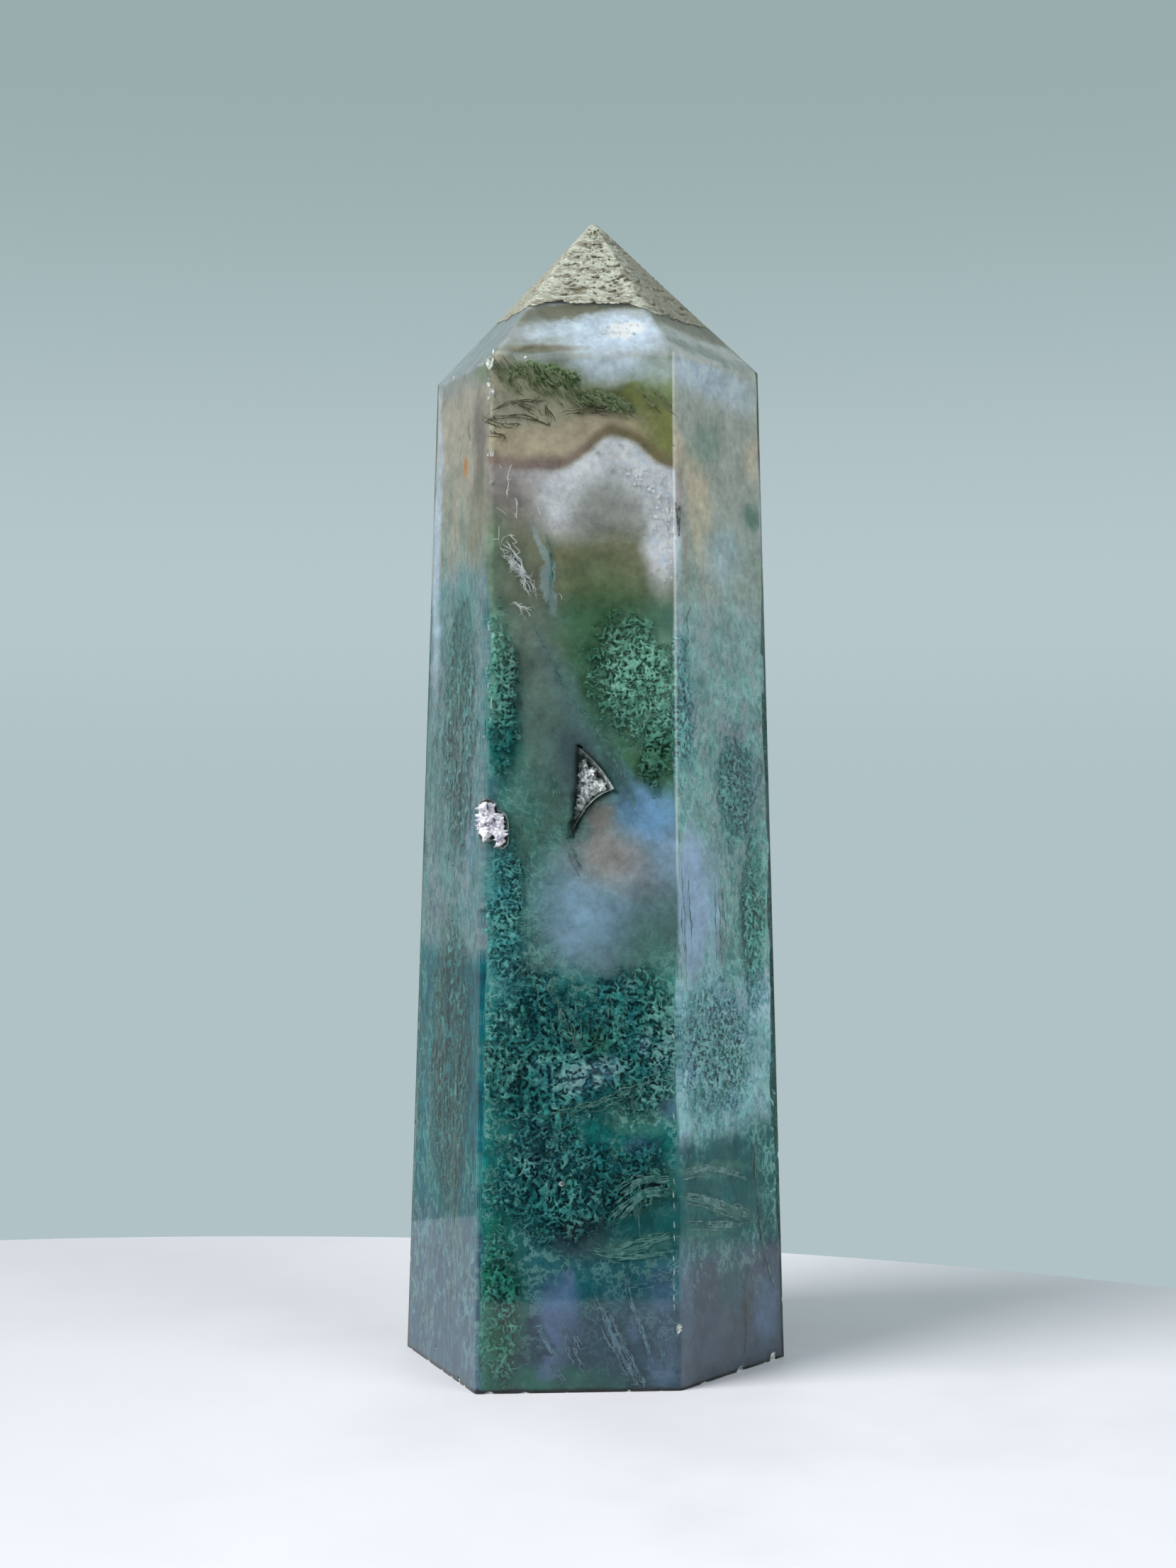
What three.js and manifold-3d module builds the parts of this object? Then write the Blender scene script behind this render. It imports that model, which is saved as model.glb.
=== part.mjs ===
// Moss agate tower: one stone, cut and polished as a six-sided shaft that tapers to a six-facet point.
// Its rough tip is pitted, its arrises are nicked, and two small pockets are lined with quartz.
// Millimetres, +Z up. The origin is the middle of the flat base, and the front facet looks towards -Y.

import * as THREE from "three";
import { ConvexGeometry } from "three/addons/geometries/ConvexGeometry.js";
import { mergeVertices } from "three/addons/utils/BufferGeometryUtils.js";
import Module from "manifold-3d";

// The whole stone
const HEIGHT = 100;
const APEX = { x: 0.5, y: 0, blunt: 0.35 }; // the point leans a little, and is worn down by blunt

// The shaft's facets, going round from the front towards +X. turn is the facet's direction in degrees from -Y,
// reach its distance from the axis at the base, and lean how far it tips inwards, in degrees.
const SIDE_FACETS = [
  { name: "front", turn: 3.8, reach: 14.39, lean: 1.92 },
  { name: "right", turn: 51.1, reach: 14.79, lean: 1.5 },
  { name: "back_right", turn: 115.8, reach: 14.69, lean: 1.12 },
  { name: "back", turn: 177.2, reach: 14.58, lean: 1.61 },
  { name: "back_left", turn: 236.6, reach: 14.53, lean: 2.23 },
  { name: "left", turn: 292.4, reach: 14.34, lean: 1.31 },
];
// Where each arris between a facet and the next one ends at the shoulder
const SHOULDER_HEIGHTS = [86.85, 86.67, 86.37, 86.37, 85.86, 86.09];

// The host rock left at the tip: above this height on each facet of the point, front first
const ROCK_FROM = [91.9, 90.6, 90.2, 91, 91.6, 91.2];
const ROCK_PITS = { perFacet: 24, length: [0.35, 1.3], height: [0.2, 0.42], depth: [0.12, 0.26] };

const ARRIS_WEAR = 0.26; // how wide the arrises are worn flat

// Nicks on the arrises: how many per 10 mm, and their length and depth
const NICKS = {
  shaft: { per10mm: 0.75, length: [0.4, 1.5], depth: [0.06, 0.2] },
  shoulder: { per10mm: 1.2, length: [0.4, 1.0], depth: [0.05, 0.14] },
  ridge: { per10mm: 1.0, length: [0.3, 0.9], depth: [0.05, 0.12] },
  base: { per10mm: 2.8, length: [0.6, 2.1], depth: [0.08, 0.28] },
};

// The larger losses in the facets: u runs along the facet from its middle, z is the height, tilt is the
// direction of the loss's length in degrees from level
const FACET_LOSSES = [
  { facet: "left", u: 6.25, z: 0.2, length: 1.1, width: 0.6, depth: 0.35, tilt: 90 },
  { facet: "left", u: 0.1, z: 1.8, length: 0.8, width: 0.35, depth: 0.15, tilt: 80 },
  { facet: "right", u: 2.5, z: 0, length: 1.3, width: 0.8, depth: 0.35, tilt: 20 },
  { facet: "right", u: 7.5, z: 0.2, length: 1.2, width: 1.1, depth: 0.4, tilt: 75 },
  { facet: "front", u: 6.75, z: 5.1, length: 1.25, width: 1.2, depth: 0.25, tilt: 0 },
  { facet: "front", u: -3.1, z: 17.2, length: 0.55, width: 0.45, depth: 0.3, tilt: 0 },
];
// The larger losses on the arrises: each lies on the arris after its facet
const ARRIS_LOSSES = [
  { after: "left", z: 86, length: 2.4, width: 1.9, depth: 0.42 },
  { after: "left", z: 84.1, length: 1.1, width: 0.9, depth: 0.24 },
  { after: "left", z: 82.9, length: 0.9, width: 0.8, depth: 0.2 },
  { after: "left", z: 78.1, length: 0.9, width: 0.6, depth: 0.18 },
  { after: "front", z: 5.2, length: 1.2, width: 0.7, depth: 0.15 },
  { after: "right", z: 17.7, length: 1.1, width: 1.1, depth: 0.25 },
  { after: "right", z: 5, length: 0.9, width: 0.9, depth: 0.2 },
  { after: "back_left", z: 34.5, length: 0.9, width: 0.8, depth: 0.16 },
];

// The three-cornered pocket in the front facet, in the facet's own u and z
const FRONT_POCKET = {
  facet: "front",
  outline: { foot: [-2.25, 46.25], peak: [-1.6, 53.5], corner: [1.35, 50] },
  bow: { left: [-1.4, 49.9], upper: [0.35, 52], lower: [-0.95, 49.35] },
  depth: 2,
  floorScale: 0.55, // how much smaller the pocket's floor is than its mouth
  crust: { top: 1.05, grow: 0.76 }, // how deep the crust lies, and its outline against the pocket's
  crystals: { rows: 9, across: 5, size: [0.45, 0.8] },
};

// The pocket on the front left arris: lobes of broken-out stone, each with its middle and its half sizes
const EDGE_POCKET = {
  facet: "front",
  lobes: [
    { u: -9.3, z: 47.4, inset: 0, half: [1.15, 1.85, 1.35] },
    { u: -8.4, z: 46.9, inset: -0.1, half: [0.95, 1.45, 1.15] },
    { u: -8.1, z: 45.8, inset: -0.1, half: [0.65, 0.85, 1] },
  ],
  bedDepth: 0.5, // how far below the facets the grains' bed lies
  proud: 0.1, // how far the grains may stand out of the facets
  grains: { rows: 6, across: 4, size: [0.5, 0.8] },
};

// The narrow cleft beside the front right arris
const CLEFT = { facet: "right", u: -3.75, top: 74.1, foot: 71.3, width: 0.55, depth: 1.3 };

const GAP = 0.3; // between the stone and the crystals that line it
const MILKY_GREEN = new THREE.Color(0.16, 0.26, 0.22);
const QUARTZ_WHITE = new THREE.Color(0.72, 0.72, 0.76);
const DRUSE_GREY = new THREE.Color(0.42, 0.4, 0.38);

const wasm = await Module();
wasm.setup();

// A repeatable stream of random numbers from 0 to 1
function randomStream(seed) {
  let state = seed;
  return () => {
    state = (state + 0x6d2b79f5) | 0;
    let t = Math.imul(state ^ (state >>> 15), 1 | state);
    t = (t + Math.imul(t ^ (t >>> 7), 61 | t)) ^ t;
    return ((t ^ (t >>> 14)) >>> 0) / 4294967296;
  };
}
const between = ([low, high], share) => low + (high - low) * share;

// A closed three.js geometry as a solid
function solidOf(geometry) {
  const bare = new THREE.BufferGeometry().setAttribute(
    "position",
    (geometry.index ? geometry.toNonIndexed() : geometry).getAttribute("position"),
  );
  const merged = mergeVertices(bare, 1e-4);
  return new wasm.Manifold(
    new wasm.Mesh({
      numProp: 3,
      vertProperties: new Float32Array(merged.attributes.position.array),
      triVerts: new Uint32Array(merged.index.array),
    }),
  );
}

// A solid as a named mesh with its own material
function meshOf(name, solid, look) {
  const { vertProperties, triVerts } = solid.getMesh();
  const geometry = new THREE.BufferGeometry()
    .setAttribute("position", new THREE.BufferAttribute(vertProperties, 3))
    .setIndex(new THREE.BufferAttribute(triVerts, 1));
  geometry.computeVertexNormals();
  const mesh = new THREE.Mesh(geometry, new THREE.MeshStandardMaterial(look));
  mesh.name = name;
  return mesh;
}

const radians = THREE.MathUtils.degToRad;

// A facet of the shaft with its outward normal, its level direction and the direction that climbs it
function facetFrame({ turn, reach, lean }) {
  const out = new THREE.Vector3(Math.sin(radians(turn)), -Math.cos(radians(turn)), 0);
  const along = new THREE.Vector3(-out.y, out.x, 0);
  const inwards = Math.tan(radians(lean));
  const normal = out.clone().setZ(inwards).normalize();
  const up = new THREE.Vector3().crossVectors(normal, along);
  // The point at u along the facet and at height z, sunk by inset below the surface
  const at = (u, z, inset = 0) =>
    out
      .clone()
      .multiplyScalar(reach - z * inwards)
      .addScaledVector(along, u)
      .setZ(z)
      .addScaledVector(normal, -inset);
  return { out, along, normal, up, at };
}

const frames = Object.fromEntries(SIDE_FACETS.map((facet) => [facet.name, facetFrame(facet)]));

// The point at height z where two neighbouring facets of the shaft meet, were both moved inwards by inset
function arrisPoint(a, b, z, inset = 0) {
  const [p, q] = [a, b].map((facet) => {
    const { out } = frames[facet.name];
    return { x: out.x, y: out.y, d: facet.reach - inset - z * Math.tan(radians(facet.lean)) };
  });
  const cross = p.x * q.y - p.y * q.x;
  return new THREE.Vector3((p.d * q.y - q.d * p.y) / cross, (p.x * q.d - q.x * p.d) / cross, z);
}

const nextFacet = (i) => SIDE_FACETS[(i + 1) % SIDE_FACETS.length];
const feet = SIDE_FACETS.map((facet, i) => arrisPoint(facet, nextFacet(i), 0));
const shoulders = SIDE_FACETS.map((facet, i) => arrisPoint(facet, nextFacet(i), SHOULDER_HEIGHTS[i]));
const apex = new THREE.Vector3(APEX.x, APEX.y, HEIGHT + APEX.blunt);

// Each corner as two points, one on each of the facets beside it, so that the arris between them is worn flat
function wornCorners(corners) {
  return corners.flatMap((corner, i) =>
    [corners[(i + 5) % 6], corners[(i + 1) % 6]].map((neighbour) =>
      corner.clone().add(neighbour.clone().sub(corner).setLength(ARRIS_WEAR / 2)),
    ),
  );
}

// The stone as it was cut and polished: flat facets, with narrow worn arrises and a blunt tip
function cutStone() {
  const blank = solidOf(new ConvexGeometry([...wornCorners(feet), ...wornCorners(shoulders), apex]));
  const worn = new THREE.BoxGeometry(10, 10, 10).translate(APEX.x, APEX.y, HEIGHT + 5);
  return blank.subtract(solidOf(worn));
}

// The shaft alone, with its facets moved inwards
function shaftWithin(inset) {
  const rings = [0, SHOULDER_HEIGHTS[5]].flatMap((z) =>
    SIDE_FACETS.map((facet, i) => arrisPoint(facet, nextFacet(i), z, inset)),
  );
  return solidOf(new ConvexGeometry(rings));
}

// A shallow scoop. Its length lies along one direction, and its depth goes down from a surface point.
function scoop(point, outward, along, { length, width, depth }, detail = 1) {
  const bulge = Math.max(width / 2, depth); // half the scoop's thickness
  const across = new THREE.Vector3().crossVectors(outward, along).normalize();
  const level = new THREE.Vector3().crossVectors(across, outward).normalize();
  const place = new THREE.Matrix4().makeBasis(
    level.clone().multiplyScalar(length / 2),
    across.clone().multiplyScalar(width / 2),
    outward.clone().normalize().multiplyScalar(bulge),
  );
  place.setPosition(point.clone().addScaledVector(outward.clone().normalize(), bulge - depth));
  return solidOf(new THREE.IcosahedronGeometry(1, detail).applyMatrix4(place));
}

// Nicks spread along one edge of the stone
function nicksAlong(from, to, outward, { per10mm, length, depth }, random) {
  const along = to.clone().sub(from);
  const count = Math.round((along.length() / 10) * per10mm);
  return Array.from({ length: count }, (_, i) => {
    const share = (i + 0.15 + 0.7 * random()) / count;
    const deep = between(depth, random() ** 2);
    const long = between(length, random() ** 2);
    const size = { length: long, width: 0.9 + 3 * deep, depth: deep };
    return scoop(from.clone().addScaledVector(along, share), outward, along, size);
  });
}

// All the nicks: down the arrises, round the shoulder, up the ridges of the point and round the base
function edgeNicks() {
  const random = randomStream(7);
  const away = (point) => point.clone().setZ(0).normalize();
  const down = new THREE.Vector3(0, 0, -1);
  return feet.flatMap((foot, i) => {
    const next = (i + 1) % feet.length;
    const { normal } = frames[nextFacet(i).name];
    const upAndOut = away(shoulders[i]).add(new THREE.Vector3(0, 0, 1));
    return [
      ...nicksAlong(foot, shoulders[i], away(foot), NICKS.shaft, random),
      ...nicksAlong(shoulders[i], shoulders[next], normal.clone().setZ(0.4), NICKS.shoulder, random),
      ...nicksAlong(shoulders[i], apex, upAndOut, NICKS.ridge, random),
      ...nicksAlong(foot, feet[next], normal.clone().add(down), NICKS.base, random),
    ];
  });
}

// The losses that have a place of their own
function namedLosses() {
  const inFacets = FACET_LOSSES.map((loss) => {
    const { at, normal, along, up } = frames[loss.facet];
    const turn = radians(loss.tilt);
    const lengthwise = along.clone().multiplyScalar(Math.cos(turn)).addScaledVector(up, Math.sin(turn));
    return scoop(at(loss.u, loss.z), normal, lengthwise, loss);
  });
  const onArrises = ARRIS_LOSSES.map((loss) => {
    const i = SIDE_FACETS.findIndex((facet) => facet.name === loss.after);
    const point = arrisPoint(SIDE_FACETS[i], nextFacet(i), loss.z);
    return scoop(point, point.clone().setZ(0), shoulders[i].clone().sub(feet[i]), loss);
  });
  return [...inFacets, ...onArrises];
}

// Pits in the rock of the tip, longest in the level direction as its layers run
function rockPits() {
  const random = randomStream(23);
  return shoulders.flatMap((corner, i) => {
    const last = shoulders[(i + shoulders.length - 1) % shoulders.length];
    const level = corner.clone().sub(last);
    const normal = new THREE.Vector3().crossVectors(level, apex.clone().sub(last)).normalize();
    const middle = last.clone().add(corner).multiplyScalar(0.5);
    const lowest = (ROCK_FROM[i] - middle.z) / (apex.z - middle.z);
    return Array.from({ length: ROCK_PITS.perFacet }, (_, pit) => {
      const climb = lowest + (0.93 - lowest) * (1 - Math.sqrt((pit + random()) / ROCK_PITS.perFacet));
      const sideways = (random() - 0.5) * 0.84 * (1 - climb);
      const point = middle.clone().lerp(apex, climb).addScaledVector(level, sideways);
      const size = {
        length: between(ROCK_PITS.length, random()),
        width: between(ROCK_PITS.height, random()) * 2,
        depth: between(ROCK_PITS.depth, random()),
      };
      return scoop(point, normal, level, size, 0);
    });
  });
}

// The outline of the three-cornered pocket as a curved shape
function pocketShape() {
  const { foot, peak, corner } = FRONT_POCKET.outline;
  const { left, upper, lower } = FRONT_POCKET.bow;
  const shape = new THREE.Shape();
  shape.moveTo(...foot);
  shape.quadraticCurveTo(...lower, ...corner);
  shape.quadraticCurveTo(...upper, ...peak);
  shape.quadraticCurveTo(...left, ...foot);
  return shape;
}

// The pocket as a solid that narrows inwards, from a level above the facet down to a depth below it.
// grow widens or narrows the whole outline about its middle.
function pocketSolid(above, depth, grow) {
  const { facet, outline, floorScale } = FRONT_POCKET;
  const { at, along, up, normal } = frames[facet];
  const corners = Object.values(outline);
  const middle = [0, 1].map((axis) => corners.reduce((sum, point) => sum + point[axis], 0) / 3);
  const block = new THREE.ExtrudeGeometry(pocketShape(), {
    depth: above + depth,
    steps: 4,
    curveSegments: 5,
    bevelEnabled: false,
  });
  const position = block.getAttribute("position");
  for (let i = 0; i < position.count; i++) {
    const sunk = depth - position.getZ(i); // how far below the facet the point lies
    const share = Math.max(0, sunk / FRONT_POCKET.depth);
    const scale = grow * (1 - (1 - floorScale) * share ** 2);
    const x = (position.getX(i) - middle[0]) * scale;
    const y = (position.getY(i) - middle[1]) * scale;
    position.setXYZ(i, x, y, -sunk);
  }
  const place = new THREE.Matrix4().makeBasis(along, up, normal).setPosition(at(...middle));
  return solidOf(block.applyMatrix4(place));
}

// One quartz crystal: a six-sided prism with a pointed end, standing on a point along a direction
function quartzCrystal(point, direction, radius, height, spin) {
  const shaft = height * 0.55;
  const profile = [
    new THREE.Vector2(0, -radius),
    new THREE.Vector2(radius, -radius),
    new THREE.Vector2(radius, shaft),
    new THREE.Vector2(0, height),
  ];
  const crystal = new THREE.LatheGeometry(profile, 6, spin);
  const upright = new THREE.Vector3(0, 1, 0);
  crystal.applyQuaternion(new THREE.Quaternion().setFromUnitVectors(upright, direction));
  return solidOf(crystal.translate(point.x, point.y, point.z));
}

// The druse of the front pocket: a crust on the pocket's floor, with small crystals growing out of it
function frontPocketCrystals() {
  const { facet, outline, depth, crust, crystals } = FRONT_POCKET;
  const { at, normal, along, up } = frames[facet];
  const random = randomStream(41);
  const bed = pocketSolid(-crust.top, depth - GAP, crust.grow);
  const reach = pocketSolid(0, depth - GAP, crust.grow);
  const low = outline.foot[1];
  const tall = outline.peak[1] - low;
  const points = [];
  for (let row = 0; row < crystals.rows; row++) {
    for (let column = 0; column < crystals.across; column++) {
      const u = -2.2 + ((column + random()) / crystals.across) * 3.4;
      const z = low + ((row + random()) / crystals.rows) * tall;
      const lean = along.clone().multiplyScalar(random() - 0.5).addScaledVector(up, random() - 0.5);
      const direction = normal.clone().addScaledVector(lean, 0.9).normalize();
      const size = between(crystals.size, random());
      const root = at(u, z, crust.top + 0.1);
      points.push(quartzCrystal(root, direction, size / 2, size * 1.1, random() * Math.PI));
    }
  }
  const [largest] = bed
    .add(wasm.Manifold.union(points).intersect(reach))
    .decompose()
    .sort((a, b) => b.volume() - a.volume());
  return largest;
}

// The broken-out hollow on the front left arris, each lobe drawn in by shrink
function edgePocket(shrink) {
  const { at, normal, along, up } = frames[EDGE_POCKET.facet];
  const lobes = EDGE_POCKET.lobes.map(({ u, z, inset, half }) => {
    const [wide, tall, deep] = half.map((size) => size - shrink);
    const place = new THREE.Matrix4()
      .makeBasis(
        along.clone().multiplyScalar(wide),
        up.clone().multiplyScalar(tall),
        normal.clone().multiplyScalar(deep),
      )
      .setPosition(at(u, z, inset));
    return solidOf(new THREE.IcosahedronGeometry(1, 2).applyMatrix4(place));
  });
  return wasm.Manifold.union(lobes);
}

// The white quartz in that hollow: blocky grains on a bed of the same quartz
function edgePocketCrystals() {
  const { facet, grains, bedDepth, proud } = EDGE_POCKET;
  const { at, normal, along, up } = frames[facet];
  const random = randomStream(59);
  const blocks = [];
  for (let row = 0; row < grains.rows; row++) {
    for (let column = 0; column < grains.across; column++) {
      const u = -10.2 + ((column + 0.3 + 0.5 * random()) / grains.across) * 3;
      const z = 45.1 + ((row + 0.3 + 0.5 * random()) / grains.rows) * 4;
      const size = between(grains.size, random());
      const turn = new THREE.Euler(random() * 3, random() * 3, random() * 3);
      const place = new THREE.Matrix4().makeBasis(along, up, normal);
      place.setPosition(at(u, z, 0.45 + 0.3 * random()));
      const block = new THREE.DodecahedronGeometry(size, 0)
        .applyMatrix4(new THREE.Matrix4().makeRotationFromEuler(turn))
        .scale(0.75, 1.25, 0.9)
        .applyMatrix4(place);
      blocks.push(solidOf(block));
    }
  }
  const inHollow = edgePocket(GAP);
  const [largest] = wasm.Manifold.union(blocks)
    .intersect(shaftWithin(-proud))
    .add(shaftWithin(bedDepth))
    .intersect(inHollow)
    .decompose()
    .sort((a, b) => b.volume() - a.volume());
  return largest;
}

// The cleft as a wedge that is widest at its top
function cleft() {
  const { facet, u, top, foot, width, depth } = CLEFT;
  const { at, along, up, normal } = frames[facet];
  const shape = new THREE.Shape();
  shape.moveTo(-width / 2, top - foot);
  shape.quadraticCurveTo(-width / 3, (top - foot) / 2, 0.05, 0);
  shape.quadraticCurveTo(width / 2.5, (top - foot) / 2, width / 2, (top - foot) * 0.93);
  const wedge = new THREE.ExtrudeGeometry(shape, {
    depth: depth + 1,
    curveSegments: 4,
    bevelEnabled: false,
  });
  const place = new THREE.Matrix4().makeBasis(along, up, normal).setPosition(at(u, foot, depth));
  return solidOf(wedge.applyMatrix4(place));
}

const stone = cutStone()
  .subtract(pocketSolid(1, FRONT_POCKET.depth, 1))
  .subtract(edgePocket(0))
  .subtract(cleft())
  .subtract(wasm.Manifold.union([...namedLosses(), ...edgeNicks(), ...rockPits()]));

const tower = new THREE.Group();
tower.add(
  meshOf("tower", stone, { color: MILKY_GREEN, roughness: 0.12, metalness: 0 }),
  meshOf("front_pocket_crystals", frontPocketCrystals(), {
    color: DRUSE_GREY,
    roughness: 0.35,
    metalness: 0,
  }),
  meshOf("edge_pocket_crystals", edgePocketCrystals(), {
    color: QUARTZ_WHITE,
    roughness: 0.4,
    metalness: 0,
  }),
);

// The origin is on the base, under the middle of the stone's outline from above
const middle = new THREE.Box3().setFromObject(tower).getCenter(new THREE.Vector3());
tower.position.set(-middle.x, -middle.y, 0);

export default tower;
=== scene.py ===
"""Moss agate tower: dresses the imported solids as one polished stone, on a pale round slab in soft daylight.

Metres, +Z up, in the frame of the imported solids. Patterns and small sizes are in millimetres.
"""

import functools
import itertools
import math
from collections import namedtuple

import bmesh
import bpy
import numpy as np
from bpy.props import FloatProperty, FloatVectorProperty, PointerProperty
from mathutils import Matrix, Vector
from mathutils.bvhtree import BVHTree


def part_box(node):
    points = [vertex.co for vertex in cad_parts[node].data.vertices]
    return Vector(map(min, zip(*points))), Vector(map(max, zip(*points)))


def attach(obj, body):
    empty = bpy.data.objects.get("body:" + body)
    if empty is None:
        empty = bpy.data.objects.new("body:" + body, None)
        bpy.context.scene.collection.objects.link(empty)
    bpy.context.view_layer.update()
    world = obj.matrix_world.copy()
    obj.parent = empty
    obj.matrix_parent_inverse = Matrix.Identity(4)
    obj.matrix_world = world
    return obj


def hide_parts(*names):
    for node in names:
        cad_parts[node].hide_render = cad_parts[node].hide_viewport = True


bl_info = {
    "name": "Moss agate tower",
    "version": (1, 0, 0),
    "blender": (4, 5, 0),
    "location": "3D View > Sidebar > Agate",
    "description": "A polished agate tower with moss, milky clouds, a rough tip and crystal-lined pockets",
    "category": "Object",
}

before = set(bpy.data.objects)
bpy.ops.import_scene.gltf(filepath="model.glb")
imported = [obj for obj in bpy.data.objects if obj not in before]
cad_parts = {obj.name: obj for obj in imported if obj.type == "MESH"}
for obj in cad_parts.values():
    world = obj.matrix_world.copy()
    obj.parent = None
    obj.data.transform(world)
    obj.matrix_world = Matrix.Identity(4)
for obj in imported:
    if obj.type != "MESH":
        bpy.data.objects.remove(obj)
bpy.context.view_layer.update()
MM = 0.001
BODY = "root"


def tint(red, green, blue):
    """A colour as the eye names it, 0 to 255, as the linear colour that a shader takes."""
    return tuple(((c / 255 + 0.055) / 1.055) ** 2.4 if c > 10 else c / 3295 for c in (red, green, blue))


def opaque(colour):
    """A colour with full alpha."""
    return (*colour, 1.0)


def paint(red, green, blue):
    """A colour as the eye names it, with full alpha."""
    return opaque(tint(red, green, blue))


# Node trees written as expressions


def both_ways(operation):
    """An operator's method, and the one for its reflected form."""
    return (
        lambda self, other: self.sum(operation, self, other),
        lambda self, other: self.sum(operation, other, self),
    )


class Wire:
    """An output socket. Sums on wires add Math nodes, or Vector Math nodes where one of them is a vector."""

    __add__, __radd__ = both_ways("ADD")
    __sub__, __rsub__ = both_ways("SUBTRACT")
    __mul__, __rmul__ = both_ways("MULTIPLY")
    __truediv__, __rtruediv__ = both_ways("DIVIDE")
    __pow__, __rpow__ = both_ways("POWER")
    least = both_ways("MINIMUM")[0]
    most = both_ways("MAXIMUM")[0]

    def __init__(self, graph, socket):
        self.graph = graph
        self.socket = socket

    def __abs__(self):
        return self.sum("ABSOLUTE", self)

    def sum(self, operation, *values):
        """One Math or Vector Math node on these values."""
        kind = "ShaderNodeMath"
        if any(isinstance(value, Wire) and value.socket.type in ("VECTOR", "RGBA") for value in values):
            kind = "ShaderNodeVectorMath"
            values = [self.graph.triple(value) for value in values]
        return self.graph.node(kind, {"operation": operation}, dict(enumerate(values)))


class Graph:
    """A node tree, with one method that adds any node and a few that are used again and again."""

    def __init__(self, tree):
        self.tree = tree

    def node(self, kind, settings=None, values=None, output=0):
        """Adds a node: its settings first, then the values or links of its sockets."""
        made = self.tree.nodes.new(kind)
        for name, value in (settings or {}).items():
            setattr(made, name, value)
        for key, value in (values or {}).items():
            if isinstance(value, Wire):
                self.tree.links.new(value.socket, made.inputs[key])
            else:
                made.inputs[key].default_value = value
        return Wire(self, made.outputs[output]) if made.outputs else None

    def triple(self, value):
        """A number, or a number's wire, as a vector's."""
        if isinstance(value, (int, float)):
            return (value,) * 3
        if isinstance(value, Wire) and value.socket.type == "VALUE":
            return self.node("ShaderNodeCombineXYZ", {}, dict.fromkeys(range(3), value))
        return value

    def split(self, vector):
        """A vector's three numbers."""
        parts = self.node("ShaderNodeSeparateXYZ", {}, {0: vector}).socket.node
        return [Wire(self, output) for output in parts.outputs]

    def smooth(self, value, low, high):
        """A smooth step from 0 at low to 1 at high, whichever of the two is the larger."""
        settings = {"interpolation_type": "SMOOTHSTEP"}
        return self.node("ShaderNodeMapRange", settings, {"Value": value, "From Min": low, "From Max": high})

    def noise(self, at, scale, detail=3.0, roughness=0.5, distortion=0.0, output=0):
        """Noise from 0 to 1, with scale in features per millimetre."""
        values = {"Vector": at, "Scale": scale, "Detail": detail, "Roughness": roughness}
        values["Distortion"] = distortion
        return self.node("ShaderNodeTexNoise", {}, values, output)

    def ridges(self, at, scale, detail=3.0, roughness=0.5):
        """Thin winding lines, 1 on the line and 0 well away from it."""
        return 1 - (abs(self.noise(at, scale, detail, roughness) - 0.5) * 7).least(1)

    def drift(self, at, scale, amount, detail=2.0):
        """A place moved about by noise."""
        return at + (self.noise(at, scale, detail, output=1) - 0.5) * amount

    def mix(self, first, second, share):
        """Two colours, from the first at 0 to the second at 1."""
        return self.node("ShaderNodeMix", {"data_type": "RGBA"}, {0: share, 6: first, 7: second}, output=2)

    def layers(self, colour, *others):
        """A colour with others laid over it in turn, each by its own share."""
        for other, share in others:
            colour = self.mix(colour, other, share)
        return colour

    def dot(self, at, direction):
        """How far a place lies along a direction."""
        values = {0: at, 1: direction}
        return self.node("ShaderNodeVectorMath", {"operation": "DOT_PRODUCT"}, values, output=1)

    def below(self, at, facet):
        """How far a place lies below a facet."""
        return self.dot(at, -FORM_NORMALS[facet]) + FORM_REACHES[facet]

    def patch(self, flat, patch):
        """1 inside a patch and 0 outside it, over its soft edge."""
        moved = flat - (patch.level, 0.0, patch.height)
        if patch.turn:
            turned = {"Vector": moved, "Angle": math.radians(patch.turn)}
            moved = self.node("ShaderNodeVectorRotate", {"rotation_type": "Y_AXIS"}, turned)
        scaled = moved * (1 / patch.wide, 1.0, 1 / patch.tall)
        length = self.node("ShaderNodeVectorMath", {"operation": "LENGTH"}, {0: scaled}, output=1)
        return self.smooth(length, 1 + patch.soft, 1 - patch.soft)


def new_material(name):
    """A material with an empty node tree, its graph, and its place in millimetres."""
    material = bpy.data.materials.new(name)
    material.use_nodes = True
    material.node_tree.nodes.clear()
    graph = Graph(material.node_tree)
    return material, graph, graph.node("ShaderNodeTexCoord", output="Object") * (1 / MM)


def finish_material(material, graph, colour, roughness, gloss=0.5):
    """The material, with this colour over an opaque surface."""
    values = {"Base Color": colour, "Roughness": roughness, "Specular IOR Level": gloss}
    surface = graph.node("ShaderNodeBsdfPrincipled", {}, values)
    graph.node("ShaderNodeOutputMaterial", {}, {"Surface": surface})
    return material


# Sizes and colours that a user would change


class StoneLook(bpy.types.PropertyGroup):
    """The polished stone."""

    skin: FloatProperty(
        name="Clear skin",
        description="How far the cloudy inside lies below the polished facets",
        default=0.4 * MM,
        unit="LENGTH",
    )
    bumps: FloatProperty(
        name="Uneven inside",
        description="How much the depth of the cloudy inside varies",
        default=0.25 * MM,
        unit="LENGTH",
    )
    moss_room: FloatProperty(
        name="Room for moss",
        description="How much further in the cloudy inside lies where moss grows",
        default=0.9 * MM,
        unit="LENGTH",
    )


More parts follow.
